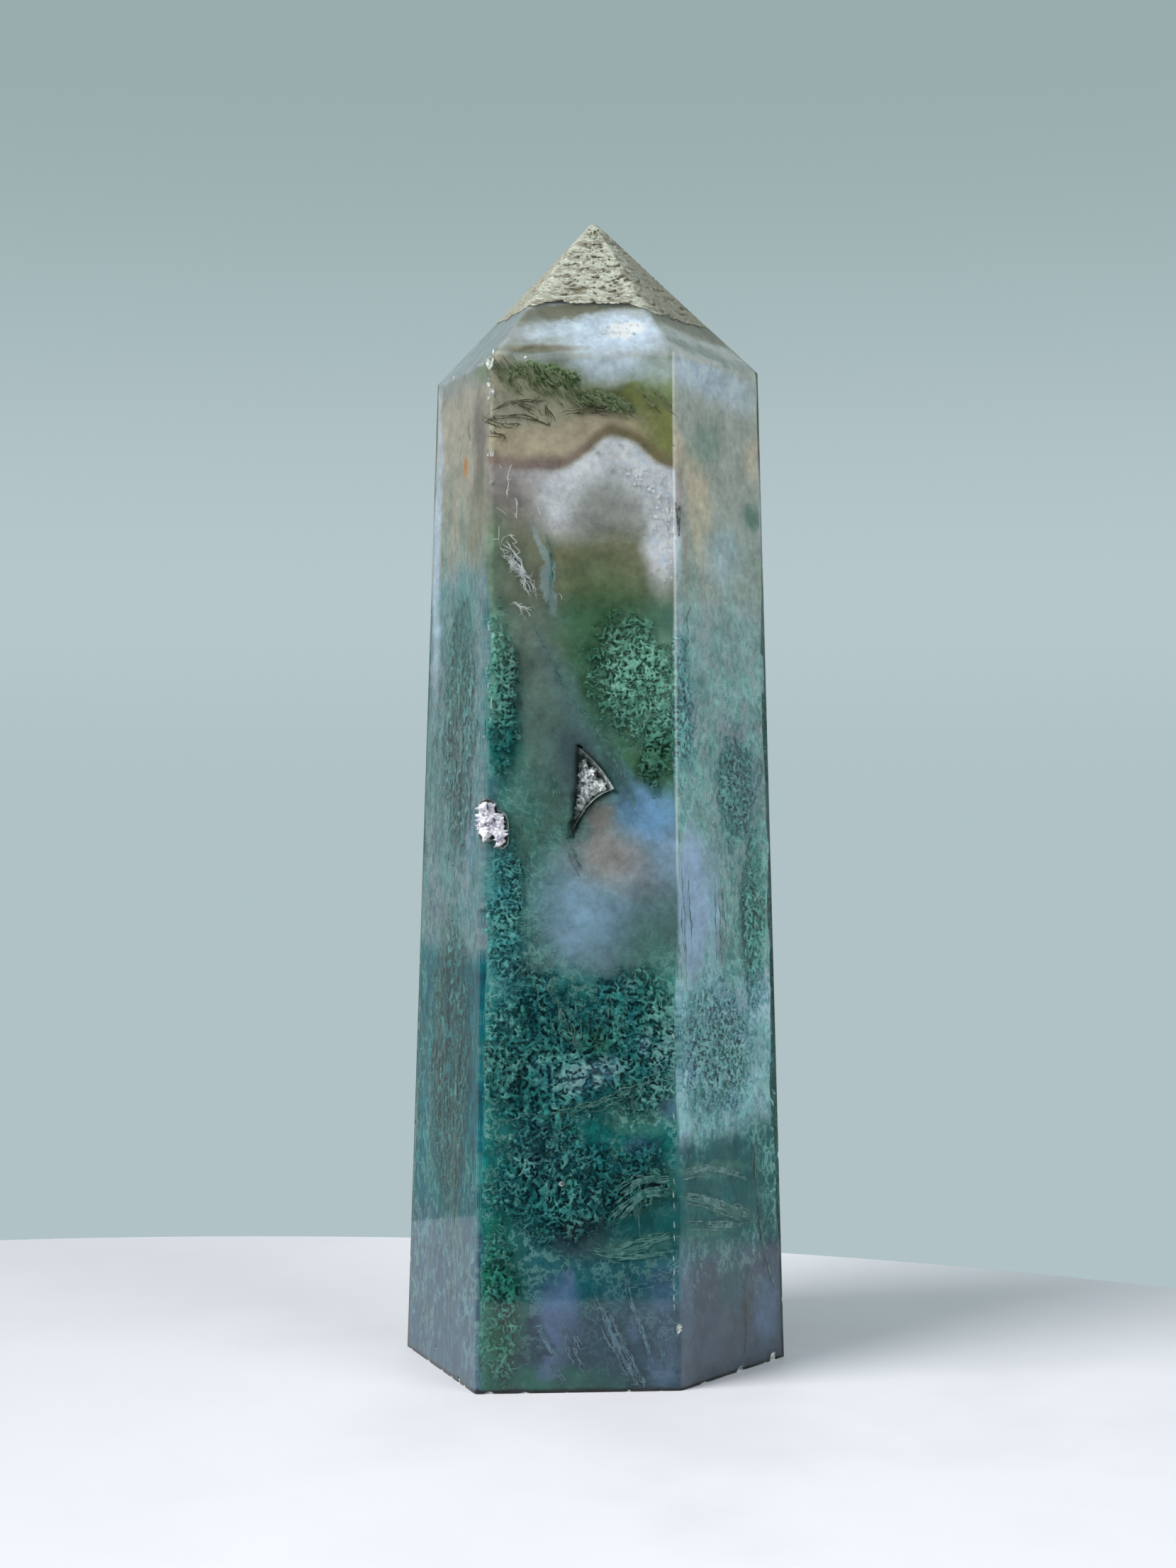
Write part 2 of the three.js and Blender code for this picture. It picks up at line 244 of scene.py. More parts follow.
class StageLook(bpy.types.PropertyGroup):
    """The slab, the light and the camera."""

    slab_radius: FloatProperty(
        name="Slab radius", description="Radius of the round slab", default=180 * MM, unit="LENGTH"
    )
    slab_colour: FloatVectorProperty(
        name="Slab colour",
        description="Colour of the slab",
        default=tint(226, 226, 234),
        subtype="COLOR",
    )


# The stone's form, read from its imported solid


FLAT_SIDES = 13  # the twelve facets and the base


class Form:
    """The flat facets of the tower: six round the shaft, six round the point."""

    def __init__(self, mesh):
        areas = {}
        for polygon in mesh.polygons:
            key = tuple(round(c, 2) for c in polygon.normal)
            point = mesh.vertices[polygon.vertices[0]].co
            total = areas.setdefault(key, [0.0, Vector(), 0.0])
            total[0] += polygon.area
            total[1] += polygon.area * polygon.normal
            total[2] += polygon.area * polygon.normal.dot(point)
        largest = sorted(areas.values(), key=lambda total: -total[0])[:FLAT_SIDES]
        planes = [(normal / area, reach / area) for area, normal, reach in largest]
        planes = [plane for plane in planes if plane[0].z > -0.5]
        planes.sort(key=lambda plane: math.atan2(plane[0].x, -plane[0].y) % math.tau)
        self.shaft = [plane for plane in planes if plane[0].z < 0.3]
        self.point = [plane for plane in planes if plane[0].z >= 0.3]
        self.normals = np.array([normal for normal, _ in self.shaft + self.point])
        self.reaches = np.array([reach for _, reach in self.shaft + self.point])

    def top(self):
        """How high the point reaches."""
        return (self.reaches[6:] / self.normals[6:, 2]).min()

    def radius(self, angle, height, inset, sharpness=26):
        """How far the surface is from the axis, with each facet moved inwards and the arrises rounded."""
        direction = np.stack([np.cos(angle), np.sin(angle)], axis=-1)
        lean = np.maximum(direction @ self.normals[:, :2].T, 1e-6)
        room = np.maximum(self.reaches - inset - np.multiply.outer(height, self.normals[:, 2]), 1e-7)
        return ((lean / room) ** sharpness).sum(axis=-1) ** (-1 / sharpness)

    def below(self, points):
        """How far points lie below each facet."""
        return self.reaches - points @ self.normals.T

    def depth(self, points):
        """How far points lie below the nearest facet."""
        return self.below(points).min(axis=-1)

    def level(self, facet):
        """The level direction along a facet, to the right as seen from outside."""
        normal = self.normals[FACETS.index(facet)]
        return Vector((-normal[1], normal[0], 0)).normalized()

    def on_facet(self, facet, level, height, depth):
        """The point below a facet at this level place, height and depth, all in millimetres."""
        normal, reach = self.normals[FACETS.index(facet)], self.reaches[FACETS.index(facet)]
        lean = math.hypot(*normal[:2])
        outward = (reach / MM - depth - normal[2] * height) / lean
        along = self.level(facet)
        return (
            along.x * level + normal[0] / lean * outward,
            along.y * level + normal[1] / lean * outward,
            height,
        )


FACETS = ("front", "right", "back_right", "back", "back_left", "left")
FACETS += tuple("crown_" + side for side in FACETS)
FORM = Form(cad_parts["tower"].data)
FORM_NORMALS = {facet: Vector(normal) for facet, normal in zip(FACETS, FORM.normals)}
FORM_REACHES = {facet: reach / MM for facet, reach in zip(FACETS, FORM.reaches)}


PATCH_VALUES = "facet level height wide tall turn paint share soft ragged"


class Patch(namedtuple("Patch", PATCH_VALUES, defaults=(0, None, 0.8, 0.3, False))):
    """An oval on a facet, in millimetres: its middle's level place and height, half sizes and turn."""

    def cover(self, points):
        """1 at points in millimetres inside the patch, and 0 outside it, over its soft edge."""
        level = points @ np.array(FORM.level(self.facet)) - self.level
        climb = points[:, 2] - self.height
        turn = math.radians(self.turn)
        across = (level * math.cos(turn) + climb * math.sin(turn)) / self.wide
        along = (climb * math.cos(turn) - level * math.sin(turn)) / self.tall
        share = np.clip((1 + self.soft - np.hypot(across, along)) / (2 * self.soft), 0, 1)
        below = FORM.below(points * MM) / MM
        apart = below[:, FACETS.index(self.facet)] - below.min(axis=-1)
        return share * (apart < 0.3)


# Making and finishing pieces


def fresh_object(name, mesh):
    """A new object at the origin that holds this mesh."""
    piece = bpy.data.objects.new(name, mesh)
    bpy.context.scene.collection.objects.link(piece)
    return piece


def finish_piece(piece, slot, *nodes):
    """The piece rides on the stone and hides the CAD nodes it dresses; its slot is not used."""
    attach(piece, BODY)
    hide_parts(*nodes)


def merged(node):
    """The CAD node's mesh with its corners joined, as a bmesh in the shared frame."""
    solid = bmesh.new()
    solid.from_mesh(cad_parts[node].data)
    bmesh.ops.remove_doubles(solid, verts=solid.verts, dist=1e-6)
    return solid


def named_mesh(name, solid):
    """A mesh made from a bmesh, which is freed."""
    mesh = bpy.data.meshes.new(name)
    solid.to_mesh(mesh)
    solid.free()
    return mesh


def points_of(mesh):
    """The places of a mesh's vertices."""
    points = np.empty(len(mesh.vertices) * 3)
    mesh.vertices.foreach_get("co", points)
    return points.reshape(-1, 3)


def write_layer(mesh, name, values):
    """Writes a number for each vertex of a mesh."""
    layer = mesh.attributes.new(name, "FLOAT", "POINT")
    layer.data.foreach_set("value", np.array(values, np.float32))


def all_smooth(mesh):
    """Shades every face of a mesh smooth."""
    mesh.polygons.foreach_set("use_smooth", [True] * len(mesh.polygons))


def plain_mesh(piece):
    """The piece with its modifiers applied."""
    graph = bpy.context.evaluated_depsgraph_get()
    mesh = bpy.data.meshes.new_from_object(piece.evaluated_get(graph), depsgraph=graph)
    if not len(mesh.polygons):
        raise RuntimeError("nothing was made of " + piece.name)
    piece.modifiers.clear()
    piece.data = mesh
    return piece


# Colours, as they are seen in the stone


def seen(red, green, blue):
    """The paint that looks like this colour under the polished skin, which takes some of the light."""
    return opaque(tuple(min(c * SKIN_LOSS, 0.95) for c in tint(red, green, blue)))


SKIN_LOSS = 1.5

SLATE = seen(6, 50, 66)
HAZE = seen(76, 100, 112)
SLATE_BLUE = seen(72, 98, 122)
NAVY = seen(4, 54, 84)
DEEP_TEAL = seen(16, 102, 100)
TEAL = seen(26, 88, 94)
PINE = seen(0, 62, 56)
SMOKE_GREEN = seen(82, 116, 106)
SMOKE = seen(90, 108, 104)
OLIVE_BROWN = seen(110, 113, 90)
DARK_GREEN = seen(70, 104, 68)
GRASS = seen(30, 112, 82)
OLIVE = seen(118, 122, 76)
TUFT_GREEN = seen(120, 138, 102)
HONEY = seen(160, 151, 131)
TAN = seen(164, 158, 142)
SAND = seen(157, 154, 137)
UMBER = seen(112, 104, 80)
MAUVE = seen(128, 114, 108)
MAUVE_GREY = seen(118, 110, 104)
BEIGE = seen(139, 142, 138)
LAVENDER = seen(191, 193, 196)
QUARTZ = seen(184, 196, 220)
WHITE = seen(240, 244, 252)
CLOUD_BLUE = seen(125, 152, 170)
SKY_BLUE = seen(120, 159, 196)
PEARL = seen(140, 144, 148)
LILAC = seen(132, 152, 172)
HALO = seen(66, 80, 88)
PALE_SEA = seen(148, 168, 178)
SEA_GREEN = seen(88, 144, 126)
MIST = seen(136, 150, 151)
MIST_GREY = seen(138, 146, 140)
# painted light: a pale band up the left facet's back edge, at the silhouette
SILHOUETTE_LIGHT = seen(180, 194, 204)
VEIL = seen(156, 170, 180)
AMBER = seen(196, 132, 56)
BARK = seen(100, 98, 82)
ASH = seen(146, 152, 150)
GREY_GREEN = seen(68, 106, 94)
PALE_MOSS = seen(150, 182, 164)
REED = seen(88, 148, 154)
DUSK = seen(20, 62, 76)
MAUVE_SLATE = seen(52, 66, 78)
DARK_SEA = seen(18, 76, 78)
FOOT_BLUE = seen(82, 104, 138)
ARC_GREEN = seen(68, 116, 106)
FERN = seen(28, 96, 78)
LEFT_TEAL = seen(34, 106, 114)
FLAKE = seen(138, 158, 162)
DIM = seen(48, 62, 70)
GREY_HAZE = seen(92, 116, 122)
WARM_SMOKE = seen(106, 112, 100)
WARM_HAZE = seen(150, 142, 136)


# Patches of colour in the stone, as the values of a Patch after its facet, painted in this order


CLOUDS = {
    "front": (
        (-8.9, 7.2, 2, 7, 0, GRASS, 0.8, 0.4, True),
        (-5, 0.6, 7, 1.4, 0, FERN, 0.7, 0.5, True),
        (-3.9, 6.2, 1.9, 3.4, 0, FOOT_BLUE, 0.8, 0.4),
        (-2.9, 9.4, 0.6, 0.8, 0, FOOT_BLUE, 0.8, 0.4, True),
        (4.9, 8.6, 1.1, 2, 0, FOOT_BLUE, 0.5, 0.6, True),
        (2.4, 5.2, 0.6, 1.2, 0, FOOT_BLUE, 0.6, 0.6, True),
        (4.6, 2.2, 1, 1.8, 0, FOOT_BLUE, 0.6, 0.6, True),
        (-4.6, 2, 1.4, 0.8, 30, FOOT_BLUE, 0.6, 0.5, True),
        (4.6, 5.2, 1.7, 5, 0, SLATE_BLUE, 0.4, 0.6, True),
        (3.4, 15.2, 4.6, 4.4, 0, DARK_SEA, 0.8, 0.4),
        (3.4, 17.4, 2.8, 0.5, 6, ARC_GREEN, 0.8, 0.6, True),
        (3.6, 15.6, 2.7, 0.5, 24, ARC_GREEN, 0.8, 0.6, True),
        (2.2, 11.9, 3.6, 0.6, 8, ARC_GREEN, 0.8, 0.6, True),
        (-2.2, 12.6, 2.6, 1.9, 0, DIM, 0.8, 0.5),
        (-5.4, 19.8, 2.2, 2.6, 0, SLATE, 0.8, 0.5, True),
        (3, 23.2, 3, 2, 10, GREY_GREEN, 0.9, 0.4, True),
        (4.6, 32.6, 1.6, 3, 0, SEA_GREEN, 0.6, 0.5, True),
        (-0.2, 29.4, 1.9, 1.3, 20, DARK_GREEN, 0.7, 0.5, True),
        (-4.9, 26.2, 1.2, 1, 35, NAVY, 0.95, 0.4, True),
        (-8.5, 27.6, 2.1, 3.4, -15, PINE, 1, 0.5, True),
        (4.5, 25.9, 1.4, 0.6, 0, PINE, 0.9, 0.4, True),
        (-1.4, 26, 2.6, 1.1, 18, PALE_SEA, 0.9, 0.4, True),
        (3.4, 28.9, 0.4, 0.8, -15, PALE_SEA, 0.9, 0.3),
        (5.1, 23.1, 0.7, 0.8, 0, SLATE_BLUE, 0.8, 0.5),
        (2.9, 20.2, 1.3, 0.7, 0, SLATE_BLUE, 0.6, 0.5, True),
        (0.8, 40.4, 6.4, 6.4, 0, GREY_HAZE, 0.85, 0.4),
        (3.4, 36.6, 2.6, 2.6, 0, GREY_GREEN, 0.6, 0.6, True),
        (-1.6, 40, 3.4, 3.8, 15, CLOUD_BLUE, 0.9, 0.75),
        (-2.8, 37.6, 0.9, 2.2, 0, CLOUD_BLUE, 0.7, 0.6),
        (3.8, 47.8, 2.8, 4, 10, SKY_BLUE, 0.85, 0.75),
        (1.2, 43.8, 4.6, 2.4, -8, PEARL, 0.8, 0.75),
        (0.4, 44.4, 2.6, 2.2, 0, WARM_HAZE, 0.7, 0.75),
        (5.5, 44.4, 1.3, 2.6, 0, LILAC, 0.8, 0.6),
        (-8.6, 39, 1.8, 7, 0, REED, 0.9, 0.5, True),
        (0.6, 4.6, 4, 5, 0, DUSK, 0.5, 0.6),
        (-8.7, 57, 1.9, 7, 0, DEEP_TEAL, 0.9, 0.5, True),
        (-9.4, 67, 1.6, 5.4, 0, SEA_GREEN, 0.45, 0.7, True),
        (-9.6, 47.5, 0.9, 3.5, 0, SLATE_BLUE, 0.6, 0.5),
        (-6.4, 64, 2.8, 7.4, 12, WARM_SMOKE, 0.75, 0.6, True),
        (-5, 54, 1.9, 6.4, 10, SMOKE, 0.7, 0.6),
        (1.6, 60, 4.6, 8, 22, DARK_GREEN, 0.85, 0.45, True),
        (3.9, 53, 2.2, 3.6, 25, DARK_GREEN, 0.9, 0.35, True),
        (-3, 57.6, 0.9, 4.8, 25, CLOUD_BLUE, 0.3, 0.8),
        (-5.2, 70.2, 0.32, 2.3, 20, FLAKE, 0.6, 0.45, True),
        (-4.62, 67, 0.5, 2.3, 3, FLAKE, 0.7, 0.35, True),
        (3, 59, 3, 4.6, 10, PALE_MOSS, 0.85, 0.5, True),
        (-9, 60, 1.3, 4.6, 0, PALE_MOSS, 0.5, 0.5, True),
        (-2.3, 52.2, 1.7, 3.6, 12, HALO, 0.9, 0.6),
        (1, 51.6, 0.8, 2.8, 25, HALO, 0.6, 0.6),
        (-0.2, 47.7, 1.4, 1.4, 30, MAUVE, 0.8, 0.6),
        (0, 86.2, 3.4, 2, 0, QUARTZ, 0.85, 0.45, True),
        (4.4, 85.6, 2.4, 1.4, -10, QUARTZ, 0.5, 0.7, True),
    ),
    "right": (
        (-4.8, 71.9, 1.2, 4.6, 0, QUARTZ, 0.8, 0.5, True),
        (-3.4, 74, 0.6, 5.4, 4, MAUVE, 0.6, 0.6),
        (-4.2, 79, 1.3, 3, 40, TAN, 0.8, 0.6),
        (-0.9, 74, 1.8, 4.4, 8, TAN, 0.9, 0.45, True),
        (0.2, 79.4, 2.6, 1.6, 30, GREY_GREEN, 0.5, 0.6, True),
        (2.6, 70, 2.4, 2.4, 0, PALE_SEA, 0.6, 0.6, True),
        (7.4, 78.8, 1.4, 1.8, 0, TAN, 0.7, 0.5, True),
        (7, 73.7, 1.3, 1.2, 0, GREY_GREEN, 0.8, 0.5, True),
        (0, 85.4, 7.5, 1.6, -9, VEIL, 0.9, 0.8, True),
        (-3.6, 57, 1.8, 7, 0, PALE_SEA, 0.7, 0.5, True),
        (4.6, 50, 3.4, 6, 0, SLATE_BLUE, 0.35, 0.6, True),
        (-2.9, 40.2, 2.4, 6.8, 0, LILAC, 0.95, 0.3),
        (0.4, 39.6, 1, 5, 0, CLOUD_BLUE, 0.7, 0.6),
        (3.2, 35, 1.7, 3, 0, SMOKE, 0.7, 0.5, True),
        (6.4, 40, 1.6, 6.4, 0, SEA_GREEN, 0.5, 0.6, True),
        (0, 27.6, 7, 6.6, 0, PALE_SEA, 0.8, 0.4, True),
        (-4.9, 12, 0.9, 10, 0, SLATE_BLUE, 0.35, 0.7),
        (1.4, 8, 2, 2.4, 0, DARK_SEA, 0.6, 0.6, True),
        (6.8, 4.6, 1.7, 2.6, 0, SLATE_BLUE, 0.6, 0.5, True),
        (-0.4, 15.4, 7.4, 4.4, 0, DARK_SEA, 0.9, 0.3),
        (-1, 17.6, 4.8, 0.5, -5, ARC_GREEN, 0.7, 0.6, True),
        (0, 14.3, 5, 0.6, -15, ARC_GREEN, 0.7, 0.6, True),
        (-2, 12.6, 3.4, 0.5, -5, ARC_GREEN, 0.7, 0.6, True),
    ),
    "left": (
        # Painted light: a pale band up the facet's back edge, along the silhouette
        (-4.6, 71, 0.9, 14, 0, SILHOUETTE_LIGHT, 0.8, 0.6),
        (5.8, 79, 1.8, 4, 0, MAUVE_GREY, 0.8, 0.6),
        (5.4, 72.5, 2.2, 4.6, 0, UMBER, 0.5, 0.6),
        (2, 77.5, 0.4, 0.9, 8, AMBER, 0.9, 0.6),
        (1.6, 62, 3.6, 5, 0, SEA_GREEN, 0.5, 0.6, True),
        (5.4, 45.6, 1.4, 3.4, 0, LILAC, 0.5, 0.6, True),
        (-0.4, 37, 1.6, 4.6, 0, MAUVE_GREY, 0.4, 0.6),
        (6.4, 85.4, 1.6, 0.9, 0, TUFT_GREEN, 0.7, 0.5, True),
    ),
    "crown_left": (
        (0, 90, 16, 9, 0, ASH, 1, 0.05),
    ),
    "crown_front": (
        (0, 92, 14, 6.4, 0, ASH, 1, 0.05),
        (-0.6, 91.3, 7, 0.9, 9, BARK, 1, 0.3),
        (1.4, 88.6, 4.6, 2, 5, QUARTZ, 0.85, 0.4, True),
        (-4, 88.9, 2.6, 0.7, 8, QUARTZ, 0.7, 0.6, True),
        (-5.2, 87.3, 3.2, 0.4, 0, UMBER, 0.8, 0.5),
        (1.9, 88.9, 1.8, 0.7, 12, WHITE, 1, 0.5, True),
    ),
    "crown_right": (
        (0, 91, 12, 5, 0, ASH, 1, 0.05),
        (0, 90.2, 9, 0.9, -4, BARK, 0.9, 0.4),
        (1.5, 87.4, 6, 0.5, -6, SMOKE, 0.6, 0.6, True),
    ),
}

# Height bands of each side from the foot up: the height at which each colour gives way to the next


HEIGHTS = {
    "front": (
        (SLATE, 7), (TEAL, 13), (DEEP_TEAL, 34.5), (SMOKE, 44), (SMOKE_GREEN, 65.5), (OLIVE_BROWN, 0),
    ),
    "right": ((MAUVE_SLATE, 10.5), (DARK_SEA, 21), (PALE_SEA, 34), (MIST, 66), (MIST_GREY, 0)),
    "left": ((HAZE, 13.4), (LEFT_TEAL, 36), (MIST, 69), (TAN, 84.5), (MIST_GREY, 0)),
    "back": (
        (SLATE, 9), (TEAL, 16), (DEEP_TEAL, 36), (MIST, 44), (SMOKE_GREEN, 62), (MIST_GREY, 68),
        (LAVENDER, 76), (MAUVE, 78.5), (HONEY, 80.5), (OLIVE, 85), (MIST_GREY, 0),
    ),
}


def banded(graph, height, bands, blur):
    """The colour at a height."""
    colour = bands[0][0]
    for (_, top), (above, _) in zip(bands, bands[1:]):
        colour = graph.mix(colour, above, graph.smooth(height, top - blur, top + blur))
    return colour


# The light from the room that each side facet throws back, which its paint leaves out
GLARE = {"front": (0.002, 0.0025, 0.003), "right": (0.0, 0.004, 0.0), "left": (0.058, 0.056, 0.052)}
# How much moss lace shows on each side at heights from the foot up, and how far it is drawn out
LACE = {
    "back": ((2, 14), (70, 54), 0.7, 1.0),
    "front": ((-6, 22), (72, 30), 0.8, 1.0),
    "right": ((4, 16), (78, 52), 0.75, 0.6),
    "left": ((-8, 8), (84, 60), 0.65, 0.4),
}
# How much brighter each side is painted, as less light falls on it
GAIN = {"front": (1.13, 1.14, 1.17), "right": (1.74, 1.7, 1.72), "left": (1.0, 1.02, 1.1)}

MAUVE_HEIGHT = 77.3
HUMP = (1.2, 2.9, 2.9)  # the hump of the mauve band: its level place, width and rise


def upper_front(graph, flat, at):
    """The bands under the front shoulder: beige heart, granular quartz, mauve, honey, sand and olive."""
    level, _, height = graph.split(flat)
    middle, width, rise = HUMP
    above = height - MAUVE_HEIGHT - 0.37 ** (((level - middle) / width) ** 2) * rise
    side = graph.smooth(level, -5.0, 2.5)
    grain = graph.noise(at, 1.5, 3.0, 0.6)
    whiter = graph.smooth(level, -1.0, 4.5)
    green = graph.mix(SAND, TUFT_GREEN, graph.smooth(level, -8.5, -2.0))
    return graph.layers(
        LAVENDER,
        (QUARTZ, graph.smooth(grain, 0.46, 0.74) * (whiter * 0.6 + 0.35)),
        (PEARL, graph.smooth(grain, 0.42, 0.28) * 0.6),
        (BEIGE, graph.patch(flat, Patch("front", 0.5, 73.0, 3.2, 3.1, soft=0.5))),
        (MAUVE_GREY, graph.patch(flat, Patch("front", -8.6, 73.0, 3.2, 4.8, soft=0.6)) * 0.9),
        (graph.mix(MAUVE, UMBER, side), graph.smooth(above, -0.9, -0.1)),
        (graph.mix(HONEY, OLIVE, graph.smooth(level, 0.5, 5.5)), graph.smooth(above, 0.1, 1.1)),
        (graph.mix(SAND, OLIVE, side), graph.smooth(above + side * 0.6, 2.4, 3.8)),
        (green, graph.smooth(above + side, 4.6, 6.4) * 0.7),
    )


def lace_share(graph, height, side):
    """How much lace shows on a side at a height."""
    foot, top, share, _ = LACE[side]
    return graph.smooth(height, *foot) * graph.smooth(height, *top) * share


def laced(graph, colour, at, height, share, drawn):
    """A colour with a net of moss over it: pale threads, and dark gaps between them."""
    longer = graph.node("ShaderNodeCombineXYZ", {}, {0: 1.0, 1: 1.0, 2: drawn})
    moved = graph.drift(at, 0.8, 0.8, 3.0) * longer
    growth = graph.smooth(graph.noise(moved, 0.35, 4.0, 0.6), 0.34, 0.56) * share
    net = graph.ridges(moved, 1.2, 5.0, 0.7).most(graph.ridges(moved, 2.6, 3.0, 0.6) * 0.8)
    gaps = graph.smooth(graph.noise(moved, 2.0, 5.0, 0.7), 0.54, 0.42)
    thin = graph.ridges(graph.drift(moved, 1.4, 0.6), 0.9, 4.0, 0.6)
    low_to_high = graph.mix(SLATE_LACE, LACE_PAINT, graph.smooth(height, 8.0, 15.0))
    return graph.layers(
        colour,
        (colour * LACE_GAPS, gaps * share),
        (low_to_high, graph.smooth(net, 0.35, 0.8) * growth * 0.7),
        (PALE_LACE, graph.smooth(thin, 0.62, 0.92) * growth * 0.85),
    )


LACE_GAPS = (0.2, 0.5, 0.52)  # how much of each colour is left in the gaps of the lace
LACE_PAINT = seen(54, 126, 124)
PALE_LACE = seen(122, 166, 158)
SLATE_LACE = seen(64, 90, 108)


def inside_colour(graph, at):
    """The colours inside the agate."""
    below = {facet: graph.below(at, facet) for facet in FACETS}
    nearest = functools.reduce(Wire.least, below.values())
    moved = graph.drift(at, 0.16, 2.6, 3.0)
    torn = graph.drift(graph.drift(at, 0.5, 1.6, 2.0), 1.6, 0.9, 4.0)
    height = graph.split(moved)[2]
    uneven = graph.noise(at, 0.06, 3.0, 0.6)
    colour = banded(graph, height + (uneven - 0.5) * 14.0, HEIGHTS["back"], 1.8)
    colour = graph.mix(colour, SEA_GREEN, graph.smooth(graph.noise(torn, 0.22, 2.0), 0.52, 0.7) * 0.4)
    lace, drawn = lace_share(graph, height, "back"), LACE["back"][3]
    gain, glare = opaque((1, 1, 1)), opaque((0, 0, 0))
    for side in ("left", "right", "front"):
        flats = [facet_flat(graph, place, side) for place in (moved, torn)]
        painted = banded(graph, height, HEIGHTS[side], 1.4)
        calm = graph.smooth(height, 88.0, 90.0)
        if side == "front":
            gentle = facet_flat(graph, graph.drift(at, 0.35, 1.1, 4.0), side)
            quartz = Patch("front", -1.6, 77.0, 12.0, 5.6, soft=0.3)
            column = Patch("front", 5.0, 71.6, 1.6, 4.4, soft=0.5)
            top = graph.patch(gentle, quartz).most(graph.patch(gentle, column))
            top = top.most(graph.smooth(height, 75.0, 78.0))
            painted = graph.mix(painted, upper_front(graph, gentle, at), top)
            calm = calm.most(top)
        painted, calm = with_patches(graph, painted, calm, flats, side, below, nearest)
        share = graph.smooth(below[side].least(below["crown_" + side]) - nearest, 0.2, 0.0)
        colour = graph.mix(colour, painted, share)
        lace = lace + (lace_share(graph, height, side) * (1 - calm) - lace) * share
        drawn = drawn + (LACE[side][3] - drawn) * share
        gain = graph.mix(gain, opaque(GAIN[side]), share)
        glare = graph.mix(glare, opaque(GLARE[side]), share)
    return (laced(graph, colour, at, height, lace, drawn) * gain - glare).most(DARKEST)


DARKEST = 0.002  # the least of each colour in any paint


def near(graph, at, facet):
    """1 within two millimetres of a facet, and 0 three or more below it."""
    return graph.smooth(graph.below(at, facet), 3.0, 2.0)


def facet_flat(graph, at, facet):
    """A place as its level place and height on a facet."""
    level = graph.dot(at, FORM.level(facet))
    return graph.node("ShaderNodeCombineXYZ", {}, {0: level, 2: graph.split(at)[2]})


def with_patches(graph, colour, calm, flats, side, below, nearest):
    """A side's colour with its patches and those of its crown facet, and where it is calm."""
    for facet in (side, "crown_" + side):
        for row in CLOUDS[facet]:
            patch = Patch(facet, *row)
            share = graph.patch(flats[int(patch.ragged)], patch) * patch.share
            if facet != side:
                share = share * graph.smooth(below[facet] - nearest, 0.3, 0.0)
            colour = graph.mix(colour, patch.paint, share)
            if not patch.ragged:
                calm = calm.most(share)
    return colour, calm


# Moss


BED_VALUES = "name facet ovals voxel strand thickness drawn fill"


class MossBed(namedtuple("MossBed", BED_VALUES, defaults=(0.2, 1.0, 0.05, (1, 1, 1), 0.5))):
    """Moss on one facet: the ovals it fills, its voxel and strands, and how they are drawn out."""

    @property
    def patches(self):
        """The ovals as patches."""
        return [Patch(self.facet, *oval, soft=0.6) for oval in self.ovals]


MOSS_BEDS = (
    MossBed("moss_tuft", "front", ((-5.2, 84.8, 4.4, 1.3, -12), (0.5, 82.6, 3, 0.9, -10)),
            0.12, 2.0, 0.06, (1.6, 1.6, 0.6), 0.35),
    MossBed("moss_front_right", "front", ((2.3, 59.4, 3.9, 6, 12), (4.6, 54, 1.7, 4.8)), 0.13, 1.5),
    MossBed("moss_front_left", "front", ((-8.8, 58, 1.8, 8.5), (-8.4, 40, 1.9, 8)), 0.14, 2.0),
    MossBed("moss_front_low", "front", ((-5.5, 27.5, 6, 7.6), (2.6, 29, 4.4, 6.4)), 0.15, 1.7, 0.06),
    MossBed("moss_front_deep", "front", ((-4, 17, 7, 5), (3, 17.5, 3.4, 3)), 0.14, 1.7),
    MossBed("moss_front_foot", "front", ((-8.9, 7.2, 2, 7.6),), 0.15, 1.8),
    MossBed("moss_right_low", "right", ((0, 27.6, 6, 6.4),), 0.16, 1.9),
    MossBed("moss_right_high", "right", ((-3.6, 57, 1.9, 7), (6.2, 38, 2, 9), (4, 50, 3, 5)), 0.17, 1.8),
    MossBed("moss_left", "left", ((2, 55, 4.8, 13), (1.5, 27, 5.5, 14)),
            0.2, 1.1, 0.05, (1.6, 1.6, 0.45), 0.45),
    MossBed("moss_back_right", "back_right",
            ((-3, 20, 6, 11, 20), (3.5, 36, 5, 12, -10), (0, 57, 7, 8, 30)), 0.34, 1.0),
    MossBed("moss_back", "back", ((2, 18, 7, 9, -25), (-4, 33, 5, 11, 10), (1, 55, 8, 8, -20)), 0.34, 1.0),
    MossBed("moss_back_left", "back_left",
            ((-2, 22, 7, 10, 15), (4, 38, 4, 9), (-1, 60, 7, 7, 25)), 0.34, 1.0),
)


def bed_cover(graph, at, bed):
    """How thickly a bed of moss grows at a place, from 0 to 1."""
    flat = facet_flat(graph, graph.drift(at, 0.4, 3.2, 5.0), bed.facet)
    return functools.reduce(Wire.most, [graph.patch(flat, patch) for patch in bed.patches])


# Materials


POLISH_ROUGHNESS = 0.05
STONE_IOR = 1.54
MILKINESS = 0.035  # how milky the skin is at most, on the sides


def cloudy_agate():
    """The clouded inside of the agate."""
    material, graph, at = new_material("cloudy_agate")
    grain = graph.noise(at, 1.6, 6.0, 0.72)
    cloudy = graph.noise(graph.drift(at, 0.6, 1.4), 0.45, 4.0, 0.6)
    light = (grain - 0.5) * 0.9 + (cloudy - 0.5) * 1.1 + 1.0
    return finish_material(material, graph, inside_colour(graph, at) * light, 0.5, DULL)


DULL = 0.1  # the gloss of what lies under the skin
DEPTH = "depth"  # how far a point of the moss lies below the facet, in millimetres


